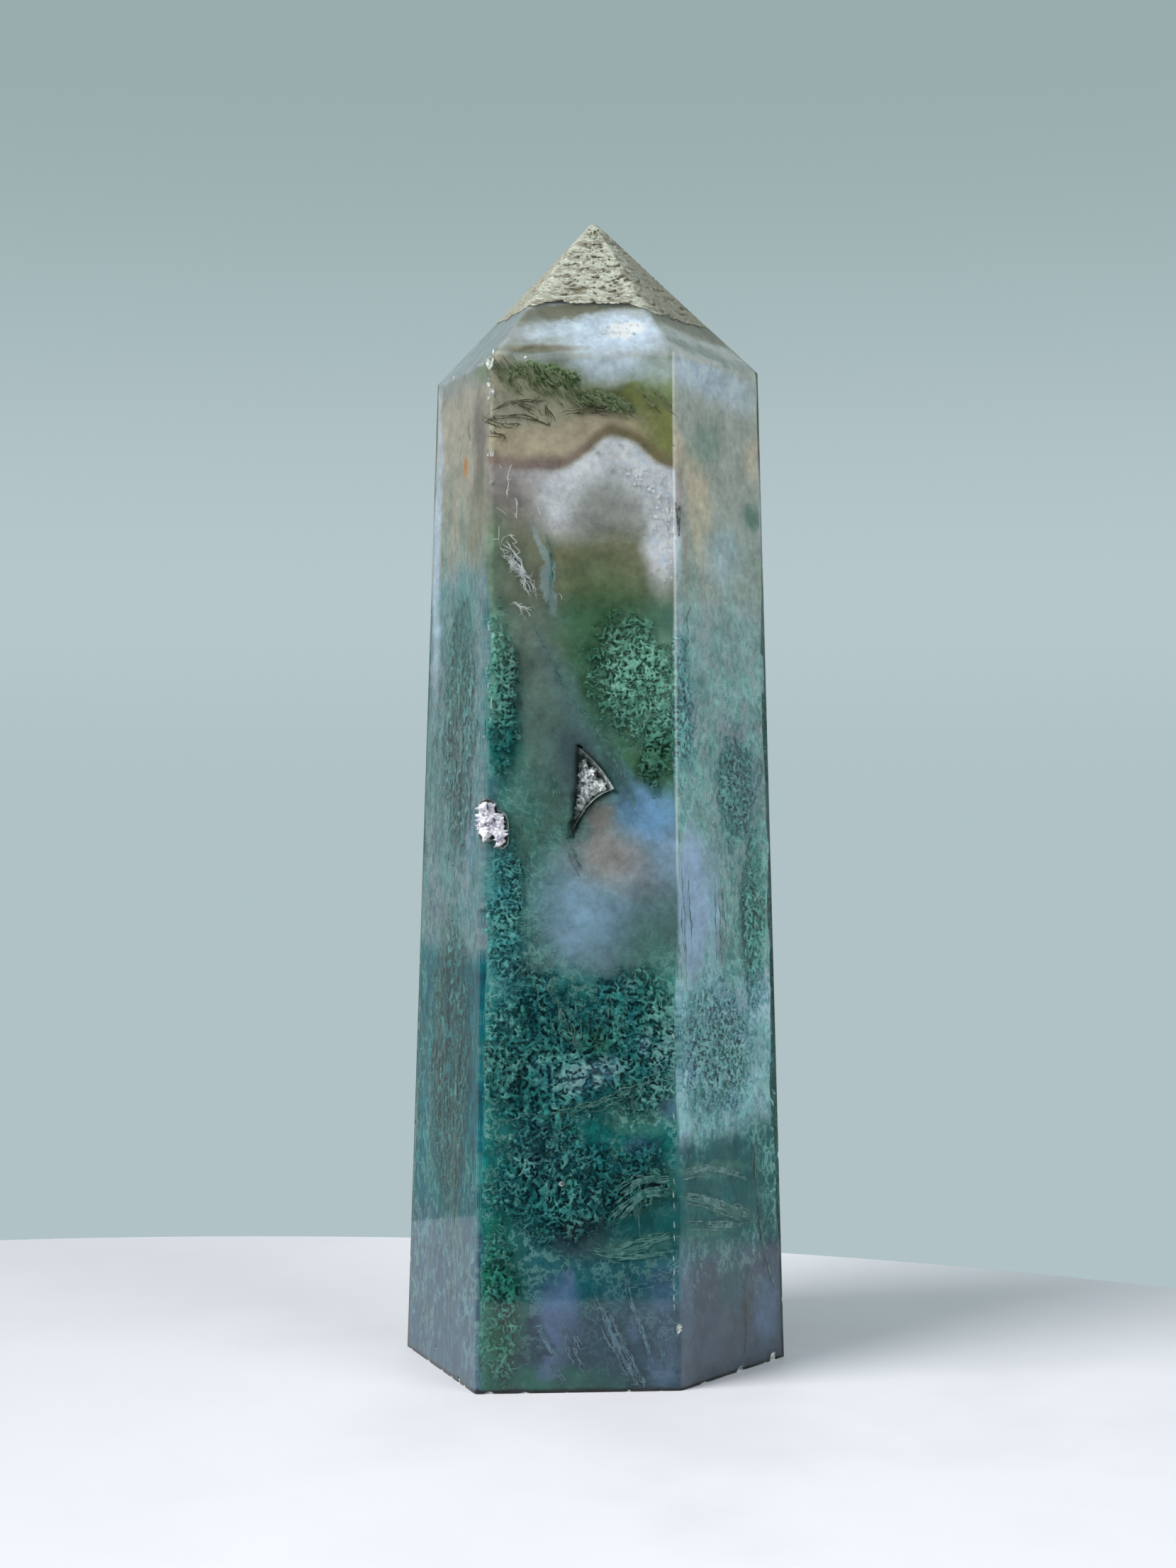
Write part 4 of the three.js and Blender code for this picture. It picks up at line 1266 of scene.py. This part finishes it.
# Threads by colour, as the values of a Thread; their order within a group decides the random draws
THREADS = {
    "pale_threads": (
        ("front", ((-5.9, 64.3), (-4, 59.9), (-2.1, 56.9), (0.5, 53.7), (2, 49.8)), 4, 0.25, 0.05, 0.3),
        ("front", ((-4.4, 53), (-3.9, 50), (-3.3, 46.6)), 6, 0.7, 0.05, 0.3),
        ("front", ((-3.4, 47.5), (-2.7, 44.5), (-1.4, 42.3)), 4, 0.5, 0.04, 0.3),
        ("front", ((0.6, 53), (1.9, 50.3), (2.1, 47)), 5, 0.5, 0.045, 0.3),
        ("front", ((-6.5, 52.6), (-5.5, 50.2)), 2, 0.2, 0.05, 0.1),
        ("front", ((-4.6, 34.5), (-3.6, 31), (-1.6, 28)), 9, 1.3, 0.05, 0.4),
        ("front", ((-1.5, 34.5), (-2.2, 31), (-2.6, 28.5)), 5, 0.8, 0.045, 0.3),
        ("front", ((1, 35.5), (0.6, 32.5), (0.9, 30)), 5, 1.5, 0.045, 0.3),
        ("front", ((-9.5, 22), (-4, 22.6), (2, 24.2), (5, 26)), 5, 0.9, 0.05, 0.5),
        ("right", ((5.6, 13.2), (6.1, 10.3), (6.9, 7.8), (7.9, 6)), 4, 0.12, 0.1, 0.12, 0.14, 8),
        ("right", ((5.2, 20), (5.4, 16), (5.6, 13.2)), 3, 0.2, 0.06, 0.15, 0.14),
        ("right", ((-4.6, 44), (-4.2, 37), (-4.3, 32)), 5, 0.7, 0.05, 0.2),
        ("right", ((0.9, 43), (1.2, 38), (0.9, 34)), 4, 0.4, 0.045, 0.2),
        ("right", ((-3, 66), (-3.4, 60), (-3.2, 54)), 5, 1.2, 0.05, 0.4),
        ("left", ((-3, 64), (-3.4, 50), (-3, 40)), 9, 1.8, 0.055, 0.5),
        ("left", ((2, 66), (2.4, 52), (1.8, 40)), 12, 3.4, 0.055, 0.5),
        ("left", ((-1, 38), (-0.6, 26), (-1.2, 14)), 12, 3.6, 0.055, 0.5),
        ("left", ((4, 36), (4.3, 24), (3.8, 3)), 10, 2.2, 0.055, 0.5),
        ("left", ((0, 12), (0.5, 2)), 7, 4, 0.05, 0.4),
        ("front", ((-5, 71.6), (-4.5, 70.6), (-4.3, 68.6), (-4.5, 66.4), (-4.8, 64.8)), 3, 0.1, 0.06, 0.12),
    ),
    "foot_threads": (
        ("front", ((-0.9, 8.2), (1, 3.9), (2.9, 0.3)), 4, 0.16, 0.11, 0.2, 0.14, 32),
        ("front", ((0.2, 6.6), (1.6, 3.6), (3.3, 0.4)), 4, 0.16, 0.09, 0.2, 0.14, 24),
        ("front", ((-0.3, 5.6), (0.8, 3.4), (2.4, 0.6)), 3, 0.12, 0.07, 0.2, 0.14, 16),
        ("front", ((1.6, 10), (1.9, 7.7), (3.1, 5), (4, 2.1)), 4, 0.14, 0.08, 0.2, 0.14, 24),
        ("front", ((-5.6, 6), (-5.1, 4.6), (-4.3, 3.2)), 5, 0.2, 0.12, 0.25, 0.14, 10),
        ("front", ((-4.6, 2.4), (-4, 1.6), (-3.3, 0.7)), 4, 0.2, 0.09, 0.2, 0.14, 8),
        ("front", ((-3.2, 6), (-2.4, 3), (-1.6, 1.6)), 8, 0.9, 0.06, 0.25, 0.14, 16),
        ("front", ((2.2, 8.2), (4, 8.8), (5.6, 9.6)), 6, 0.5, 0.05, 0.25, 0.14, 12),
        ("front", ((4.6, 4.6), (4.9, 1.6)), 7, 0.5, 0.05, 0.2, 0.14, 14),
    ),
    "arc_threads": (
        ("front", ((0.8, 16.2), (3.2, 17.7), (5.9, 17.6)), 14, 0.8, 0.09, 0.25),
        ("front", ((0.6, 13.8), (2.3, 15.8), (4.2, 16.4), (5.9, 16.2)), 14, 0.8, 0.09, 0.25),
        ("front", ((-1.5, 11.9), (0.6, 11.3), (3.1, 12.1), (5.9, 13)), 14, 0.7, 0.09, 0.25),
        ("front", ((-0.9, 11.2), (4.2, 11.2), (5.9, 11.6)), 8, 0.5, 0.08, 0.25),
        ("front", ((2.9, 17.4), (2.7, 14.6), (2.9, 12.4)), 5, 0.5, 0.06, 0.2),
    ),
    "right_arc_threads": (
        ("right", ((-5.7, 17.8), (-2.7, 18), (0.8, 17.5), (4.2, 16.5)), 14, 0.8, 0.09, 0.25),
        ("right", ((-5.7, 16.2), (-2.7, 15.4), (0.8, 14.2), (4.6, 13)), 14, 0.9, 0.09, 0.25),
        ("right", ((-5.6, 13.5), (-0.9, 13), (3.5, 12.4)), 9, 0.8, 0.08, 0.25),
    ),
    "tuft_threads": (
        ("front", ((-9, 86.2), (-7.6, 84.6), (-6.6, 83.2)), 7, 1, 0.05, 0.3),
        ("front", ((-6.2, 85.8), (-4.6, 84), (-3.2, 82.4)), 7, 0.9, 0.05, 0.3),
        ("front", ((-9.6, 86.4), (-8.2, 84.8), (-7.2, 83)), 16, 1.3, 0.06, 0.3, 0.16, 10),
        ("front", ((-7.4, 86.2), (-5.8, 84.6), (-4.4, 82.6)), 22, 1.5, 0.07, 0.3, 0.16, 20),
        ("front", ((-4.4, 85), (-2.8, 83.6), (-1.2, 81.8)), 22, 1.3, 0.07, 0.3, 0.16, 20),
        ("front", ((-1.6, 83.4), (0.6, 82.4), (2.6, 81)), 14, 1, 0.06, 0.3, 0.16, 12),
        ("front", ((3.4, 84.2), (4.6, 82.6), (5.6, 81.4)), 10, 1, 0.05, 0.3, 0.16, 8),
    ),
    "white_threads": (
        ("front", ((-8.4, 71.8), (-7.7, 69.5), (-6.7, 67.8), (-5.5, 66.2)), 10, 0.3, 0.06, 0.6, 0.12, 50),
        ("front", ((-7.6, 69.4), (-6.9, 68.4), (-6.4, 67.4)), 3, 0.14, 0.09, 0.4, 0.12, 15),
        ("front", ((-7.8, 66), (-7.2, 65.2), (-6.4, 64.6)), 5, 0.3, 0.06, 0.5, 0.12, 10),
        ("front", ((5.66, 74.5), (5.74, 73.4), (5.7, 72)), 4, 0.12, 0.08, 0.15, 0, 8),
        ("front", ((-7.7, 77.4), (-7.9, 76.2), (-8.2, 74.8)), 1, 0.08, 0.07, 0.25, 0.12, 4),
        ("front", ((-7.5, 74.4), (-7.4, 73.4), (-7.3, 72.6)), 1, 0.08, 0.08, 0.25, 0.12, 3),
        ("front", ((-8.8, 77.2), (-8.5, 76.8)), 1, 0, 0.06, 0.1, 0.12),
        ("front", ((-9.6, 75.5), (-9.3, 75.8)), 2, 0.1, 0.1, 0.1, 0.12),
        ("front", ((-9.2, 73.6), (-8.6, 73.3), (-8.1, 72.9)), 1, 0, 0.05, 0.1, 0.12),
        ("front", ((-5.5, 73.6), (-5.3, 72.8)), 1, 0, 0.07, 0.1, 0.12),
        ("front", ((-3.4, 75), (-3, 74.6)), 2, 0.1, 0.08, 0.1, 0.12),
        ("front", ((-4, 66.5), (-3.5, 66.1), (-3.6, 65.8)), 1, 0, 0.06, 0.1, 0.12),
        ("front", ((5.3, 75), (5.5, 73.2), (5.6, 71.6)), 3, 0.2, 0.08, 0.3, 0.12, 6),
        ("front", ((-9.4, 57.6), (-9.3, 56.6)), 2, 0.1, 0.06, 0.2, 0.12),
        *(("front", dash, 1, 0, 0.06, 0.05, 0.04) for dash in RIGHT_ARRIS),
        *(("front", dash, 1, 0, 0.07, 0.05, 0.04) for dash in LEFT_ARRIS),
        ("front", ((-9.3, 83.6), (-9.28, 83)), 3, 0.1, 0.14, 0.1, 0.04),
        ("front", ((-9.34, 78.6), (-9.36, 77.8)), 3, 0.1, 0.12, 0.1, 0.04),
    ),
    "dark_threads": (
        ("front", ((-10.1, 80.8), (-8.5, 82.1), (-6.9, 82.7), (-4.7, 82.7)), 3, 0.12, 0.045, 0.4, 0.18, 16),
        ("front", ((-9.8, 80.9), (-8.4, 81.2), (-6.9, 81.3), (-4.9, 80.9), (-4.4, 80.4)),
         3, 0.12, 0.045, 0.4, 0.18, 16),
        ("front", ((-4.8, 82.4), (-4.5, 80.2)), 5, 0.3, 0.06, 0.3, 0.18, 5),
        ("front", ((-9.4, 81.2), (-8.6, 80.6), (-7.4, 80.2)), 8, 0.8, 0.05, 0.4, 0.18, 16),
        ("front", ((-7.6, 82.6), (-6.2, 81.8), (-5, 81.2)), 7, 0.7, 0.05, 0.4, 0.18, 14),
        ("front", ((-5.6, 82), (-5.3, 81.4)), 2, 0.2, 0.05, 0.2, 0.18, 3),
        ("front", ((-3.4, 81.6), (-1.4, 81.9), (0.6, 81.7)), 4, 0.4, 0.05, 0.4, 0.18, 10),
        ("front", ((-9.6, 79.9), (-8, 79.6)), 3, 0.3, 0.04, 0.4, 0.18, 8),
        ("left", ((3, 81.5), (3.4, 79.6)), 2, 0.3, 0.05, 0.3, 0.18, 4),
        ("right", ((3.1, 7.9), (3.6, 5.1), (3.1, 1)), 3, 0.06, 0.06, 0.12, 0.12),
    ),
}


class Lines:
    """Lines of points, each with its own thickness."""

    def __init__(self):
        self.points, self.edges, self.thick = [], [], []

    def add(self, thread, level, height, thick):
        """A wavering line just below a facet."""
        place = np.stack([level, 0 * level, height], axis=-1)
        depth = thread.depth + 0.08 * (1 + noise_at(place, 1.0, 5))
        first = len(self.points)
        self.points += [FORM.on_facet(thread.facet, *at) for at in zip(level, height, depth)]
        self.edges += [(first + step, first + step + 1) for step in range(len(level) - 1)]
        self.thick += list(thick * (0.8 + 0.75 * noise_at(place, 0.4, 6)))


THREAD_SEED = 7
SHORTEST = 0.3  # the least share of its thread that a line runs along
POINT_STEP = 0.2  # how far apart the points of a line are, in millimetres
TWIG_LENGTHS = (0.25, 0.7)  # the shortest and the longest twig, in millimetres


def thread_lines(threads):
    """Wavering lines through the places of each thread, with their twigs."""
    random = np.random.default_rng(THREAD_SEED)
    lines = Lines()
    for thread in itertools.starmap(Thread, threads):
        places = np.array(thread.places)
        steps = np.concatenate([[0], np.cumsum(np.hypot(*np.diff(places, axis=0).T))])
        for _ in range(thread.copies):
            start, end = np.sort(random.uniform(0, 1, 2)) if thread.copies > 4 else (0, 1)
            if end - start < SHORTEST:
                start, end = max(start - SHORTEST, 0), min(end + SHORTEST, 1)
            count = max(int((end - start) * steps[-1] / POINT_STEP), 5)
            share = np.linspace(start, end, count) * steps[-1]
            level = smooth_path(share, steps, places[:, 0]) + random.normal(0, 1) * thread.spread * 0.6
            height = smooth_path(share, steps, places[:, 1]) + random.normal(0, 1) * thread.spread * 0.3
            place = np.stack([level, 0 * level, height], axis=-1)
            seed = random.integers(1000)
            beside = noise_at(place, 1.5, seed) + 0.7 * noise_at(place, 0.5, seed + 1)
            along = 0.6 * noise_at(place, 1.2, seed + 2) + 0.4 * noise_at(place, 0.5, seed)
            level = level + thread.waver * beside
            height = height + thread.waver * along
            taper = np.sin(np.linspace(0.12, math.pi - 0.12, count)) ** 0.6
            lines.add(thread, level, height, thread.thick * taper)
            for _ in range(thread.twigs // thread.copies):
                start = random.integers(count)
                lean = random.uniform(0, math.tau)
                away = np.linspace(0, random.uniform(*TWIG_LENGTHS), 5)
                bend = random.normal(0, 0.4) * away**2
                twig = (level[start] + away * math.cos(lean) + bend, height[start] + away * math.sin(lean))
                lines.add(thread, *twig, thread.thick * 0.8 * (1.05 - away / away[-1]))
    return lines


def smooth_path(share, steps, values):
    """Values along a path, eased round its corners."""
    length = steps[-1]
    shifted = (np.clip(share + shift * 0.12 * length, 0, length) for shift in (-1, 0, 1))
    return sum(np.interp(place, steps, values) for place in shifted) / 3


THREAD_COLOURS = {
    "pale_threads": ((62, 120, 112), (132, 176, 170)),
    "foot_threads": ((66, 108, 126), (112, 156, 176)),
    "arc_threads": ((66, 124, 122), (118, 170, 166)),
    "right_arc_threads": ((96, 156, 156), (150, 200, 200)),
    "tuft_threads": ((96, 114, 74), (170, 176, 146)),
    "white_threads": ((206, 216, 224), (250, 250, 252)),
    "dark_threads": ((84, 88, 64), (124, 120, 94)),
}


class AGATE_OT_threads(bpy.types.Operator):
    """Draw the fine threads and cracks just under the skin"""

    bl_idname = "agate.threads"
    bl_label = "Threads and cracks"

    def execute(self, context):
        for name, (dark, pale) in THREAD_COLOURS.items():
            lines = thread_lines(THREADS[name])
            mesh = bpy.data.meshes.new(name)
            mesh.from_pydata((np.array(lines.points) * MM).tolist(), lines.edges, [])
            write_layer(mesh, "thick", np.array(lines.thick) * MM)
            tree = GrowTree(name, {"Sides": ("Int", 5)}, takes_mesh=True)
            graph, inputs = tree.graph, tree.inputs
            thick = graph.node("GeometryNodeInputNamedAttribute", {"data_type": "FLOAT"}, {"Name": "thick"})
            line = graph.node("GeometryNodeMeshToCurve", {}, {"Mesh": inputs["Geometry"]})
            section = graph.node("GeometryNodeCurvePrimitiveCircle", {}, {"Resolution": inputs["Sides"]})
            values = {"Curve": line, "Profile Curve": section, "Scale": thick, "Fill Caps": True}
            tube = graph.node("GeometryNodeCurveToMesh", {}, values)
            piece = tree.grow(fresh_object(name, mesh), tube, quartz(name, dark, pale, 0.6, DULL))
            finish_piece(piece, "agate", "tower")
        return {"FINISHED"}


ROCK_GRID = (420, 110)  # points round the rock, and rings up it
ROCK_ARRIS = 44  # how sharp its arrises are


class AGATE_OT_rock(bpy.types.Operator):
    """Make the rough host rock of the tip"""

    bl_idname = "agate.rock"
    bl_label = "Host rock"

    def execute(self, context):
        columns, rows = ROCK_GRID
        angle = np.linspace(0, math.tau, columns, endpoint=False)
        edge = rock_edge(angle)
        top = FORM.top() - 0.12 * MM
        rings = [rock_under(angle, edge, share) for share in (0.02, 0.3, 0.6, 0.85, 0.97)]
        hollows = [np.zeros(columns) for _ in rings]
        for climb in np.linspace(0, 0.985, rows):
            height = edge + (top - edge) * climb
            radius = FORM.radius(angle, height, -0.05 * MM, ROCK_ARRIS)
            points, hollow = self.weathered(ring(angle, radius, height), radius)
            rings.append(points)
            hollows.append(hollow)
        mesh = ring_mesh("host_rock", rings, host_rock())
        write_layer(mesh, HOLLOW, np.concatenate(hollows))
        finish_piece(fresh_object("host_rock", mesh), "agate", "tower")
        return {"FINISHED"}

    def weathered(self, points, radius):
        """The points sunk into pits that run level, and how deep each lies."""
        level = (points + 0.25 * MM * drift_at(points, 0.8 * MM, 31)) * (1, 1, 3.0)
        pits = noise_at(level, 0.8 * MM, 3) + 0.8 * noise_at(level, 0.34 * MM, 8)
        pits += 0.3 * noise_at(level, 0.16 * MM, 9)
        patchy = 0.35 * noise_at(points, 1.8 * MM, 4)
        hollow = np.clip((pits + patchy - 0.42) / 0.5, 0, 1)
        sink = hollow * 0.26 * MM + 0.05 * MM * noise_at(level, 0.22 * MM, 5)
        sink = np.minimum(sink, radius * 0.4)
        points[:, :2] *= (1 - sink / radius)[:, None]
        return points, hollow


class AGATE_OT_pockets(bpy.types.Operator):
    """Line the two pockets with quartz"""

    bl_idname = "agate.pockets"
    bl_label = "Pocket crystals"

    def execute(self, context):
        for node, slot, dark, pale, size, density in (
            ("front_pocket_crystals", "grey_druse", (172, 178, 180), (232, 237, 240), 0.42, 14.0),
            ("edge_pocket_crystals", "white_quartz", (196, 198, 214), (248, 248, 252), 0.5, 5.0),
        ):
            piece = self.druse(node, quartz(slot, dark, pale), size, density)
            finish_piece(piece, slot, node)
        return {"FINISHED"}

    def druse(self, node, material, size, density):
        """The crust with small pointed crystals scattered over it."""
        piece = fresh_object(node.replace("_crystals", "_druse"), named_mesh(node, merged(node)))
        tree = crystal_tree(piece.name, size, density, 5)
        graph, inputs = tree.graph, tree.inputs
        long = inputs["Crystal size"]
        shape = {"Vertices": 6, "Radius Top": long * 0.05, "Radius Bottom": long * 0.5, "Depth": long}
        crystal = graph.node("GeometryNodeMeshCone", {}, shape)
        grown = strewn(tree, inputs["Crystals per mm2"], crystal, (0.45, 1.1))
        both = graph.node("GeometryNodeJoinGeometry", {}, {0: inputs["Geometry"]})
        graph.tree.links.new(grown.socket, both.socket.node.inputs[0])
        return tree.grow(piece, both, material)


CAMERA_PLACE = Vector((-0.54, -209.5, 50.4)) * MM
FOCAL_LENGTH = 54.08
SLAB_CENTRE = Vector((-37.0, -127.0, 0.0)) * MM
SLAB_FRONT = -64 * MM  # where the slab's near side is cut straight
SLAB_THICKNESS = 12 * MM
STONE_MIDDLE = Vector((0, 0, 0.045))  # what the lamps look at
LAMPS = (
    ("window", (-0.40, -0.22, 0.34), 0.30, 4.4, (1.0, 0.97, 0.94)),
    ("room", (0.40, -0.36, 0.24), 0.4, 1.8, (1.0, 0.98, 0.96)),
)


class AGATE_OT_stage(bpy.types.Operator):
    """Make the slab, the light and the camera"""

    bl_idname = "agate.stage"
    bl_label = "Stage"

    def execute(self, context):
        look = context.scene.agate_stage
        round_slab = bmesh.new()
        bmesh.ops.create_cone(
            round_slab,
            cap_ends=True,
            segments=256,
            radius1=look.slab_radius,
            radius2=look.slab_radius,
            depth=SLAB_THICKNESS,
        )
        for corner in round_slab.verts:
            corner.co.y = max(corner.co.y, SLAB_FRONT - SLAB_CENTRE.y)
        mesh = named_mesh("slab", round_slab)
        mesh.transform(Matrix.Translation(SLAB_CENTRE - Vector((0, 0, SLAB_THICKNESS / 2))))
        mesh.materials.append(slab_material(look.slab_colour))
        fresh_object("slab", mesh)

        self.sky(context.scene)
        for lamp in LAMPS:
            self.lamp(*lamp)

        eye = bpy.data.objects.new("camera", bpy.data.cameras.new("camera"))
        eye.data.lens = FOCAL_LENGTH
        eye.data.clip_start = 0.01
        eye.location = CAMERA_PLACE
        eye.rotation_euler = (math.radians(90), 0, 0)
        context.scene.collection.objects.link(eye)
        context.scene.camera = eye
        context.scene.view_settings.view_transform = "Standard"
        return {"FINISHED"}

    def sky(self, scene):
        """A sage backdrop behind the stone, in a dimmer room."""
        world = bpy.data.worlds.new("sage")
        world.use_nodes = True
        world.node_tree.nodes.clear()
        scene.world = world
        graph = Graph(world.node_tree)
        x, y, z = graph.split(graph.node("ShaderNodeTexCoord", output="Generated"))
        lit = graph.smooth(z, 0.9, 0.5)
        colour = graph.layers(
            paint(176, 194, 198),
            (paint(183, 200, 205), graph.smooth(z, 0.0, 0.08)),
            (paint(153, 173, 174), graph.smooth(z, 0.06, 0.3)),
            (paint(150, 156, 154), graph.smooth(abs(x), 0.4, 0.65) * lit),
            (paint(104, 108, 108), graph.smooth(y, 0.1, -0.6) * lit),
            (paint(56, 62, 66), graph.smooth(y, -0.5, -0.9) * graph.smooth(z, 0.45, 0.3)),
        )
        background = graph.node("ShaderNodeBackground", {}, {"Color": colour, "Strength": 1.0})
        graph.node("ShaderNodeOutputWorld", {}, {"Surface": background})

    def lamp(self, name, place, size, energy, colour):
        """A soft square lamp that looks at the middle of the stone."""
        light = bpy.data.lights.new(name, "AREA")
        light.size, light.energy, light.color = size, energy, colour
        lamp = bpy.data.objects.new(name, light)
        lamp.location = place
        lamp.rotation_euler = (STONE_MIDDLE - Vector(place)).to_track_quat("-Z", "Y").to_euler()
        bpy.context.scene.collection.objects.link(lamp)


class AGATE_PT_panel(bpy.types.Panel):
    """The pieces of the tower, in the order they are made"""

    bl_idname = "AGATE_PT_panel"
    bl_label = "Moss agate tower"
    bl_space_type = "VIEW_3D"
    bl_region_type = "UI"
    bl_category = "Agate"

    def draw(self, context):
        layout = self.layout
        for group in ("agate_stone", "agate_stage"):
            values = getattr(context.scene, group)
            for name in values.__annotations__:
                layout.prop(values, name)
        for operator in OPERATORS:
            layout.operator(operator.bl_idname)


GROUPS = {"agate_stone": StoneLook, "agate_stage": StageLook}
OPERATORS = (
    AGATE_OT_skin,
    AGATE_OT_inside,
    AGATE_OT_moss,
    AGATE_OT_grains,
    AGATE_OT_threads,
    AGATE_OT_rock,
    AGATE_OT_pockets,
    AGATE_OT_stage,
)


def register():
    """Adds the classes and the scene's values."""
    for group in GROUPS.values():
        bpy.utils.register_class(group)
    for operator in OPERATORS:
        bpy.utils.register_class(operator)
    bpy.utils.register_class(AGATE_PT_panel)
    for name, group in GROUPS.items():
        setattr(bpy.types.Scene, name, PointerProperty(type=group))


def unregister():
    """Takes them away again."""
    for name in GROUPS:
        delattr(bpy.types.Scene, name)
    for kind in (AGATE_PT_panel, *reversed(OPERATORS), *GROUPS.values()):
        bpy.utils.unregister_class(kind)


def main():
    """Makes the tower and the stage."""
    register()
    bpy.ops.agate.skin()
    bpy.ops.agate.inside()
    bpy.ops.agate.moss()
    bpy.ops.agate.grains()
    bpy.ops.agate.threads()
    bpy.ops.agate.rock()
    bpy.ops.agate.pockets()
    bpy.ops.agate.stage()


if __name__ == "__main__":
    main()
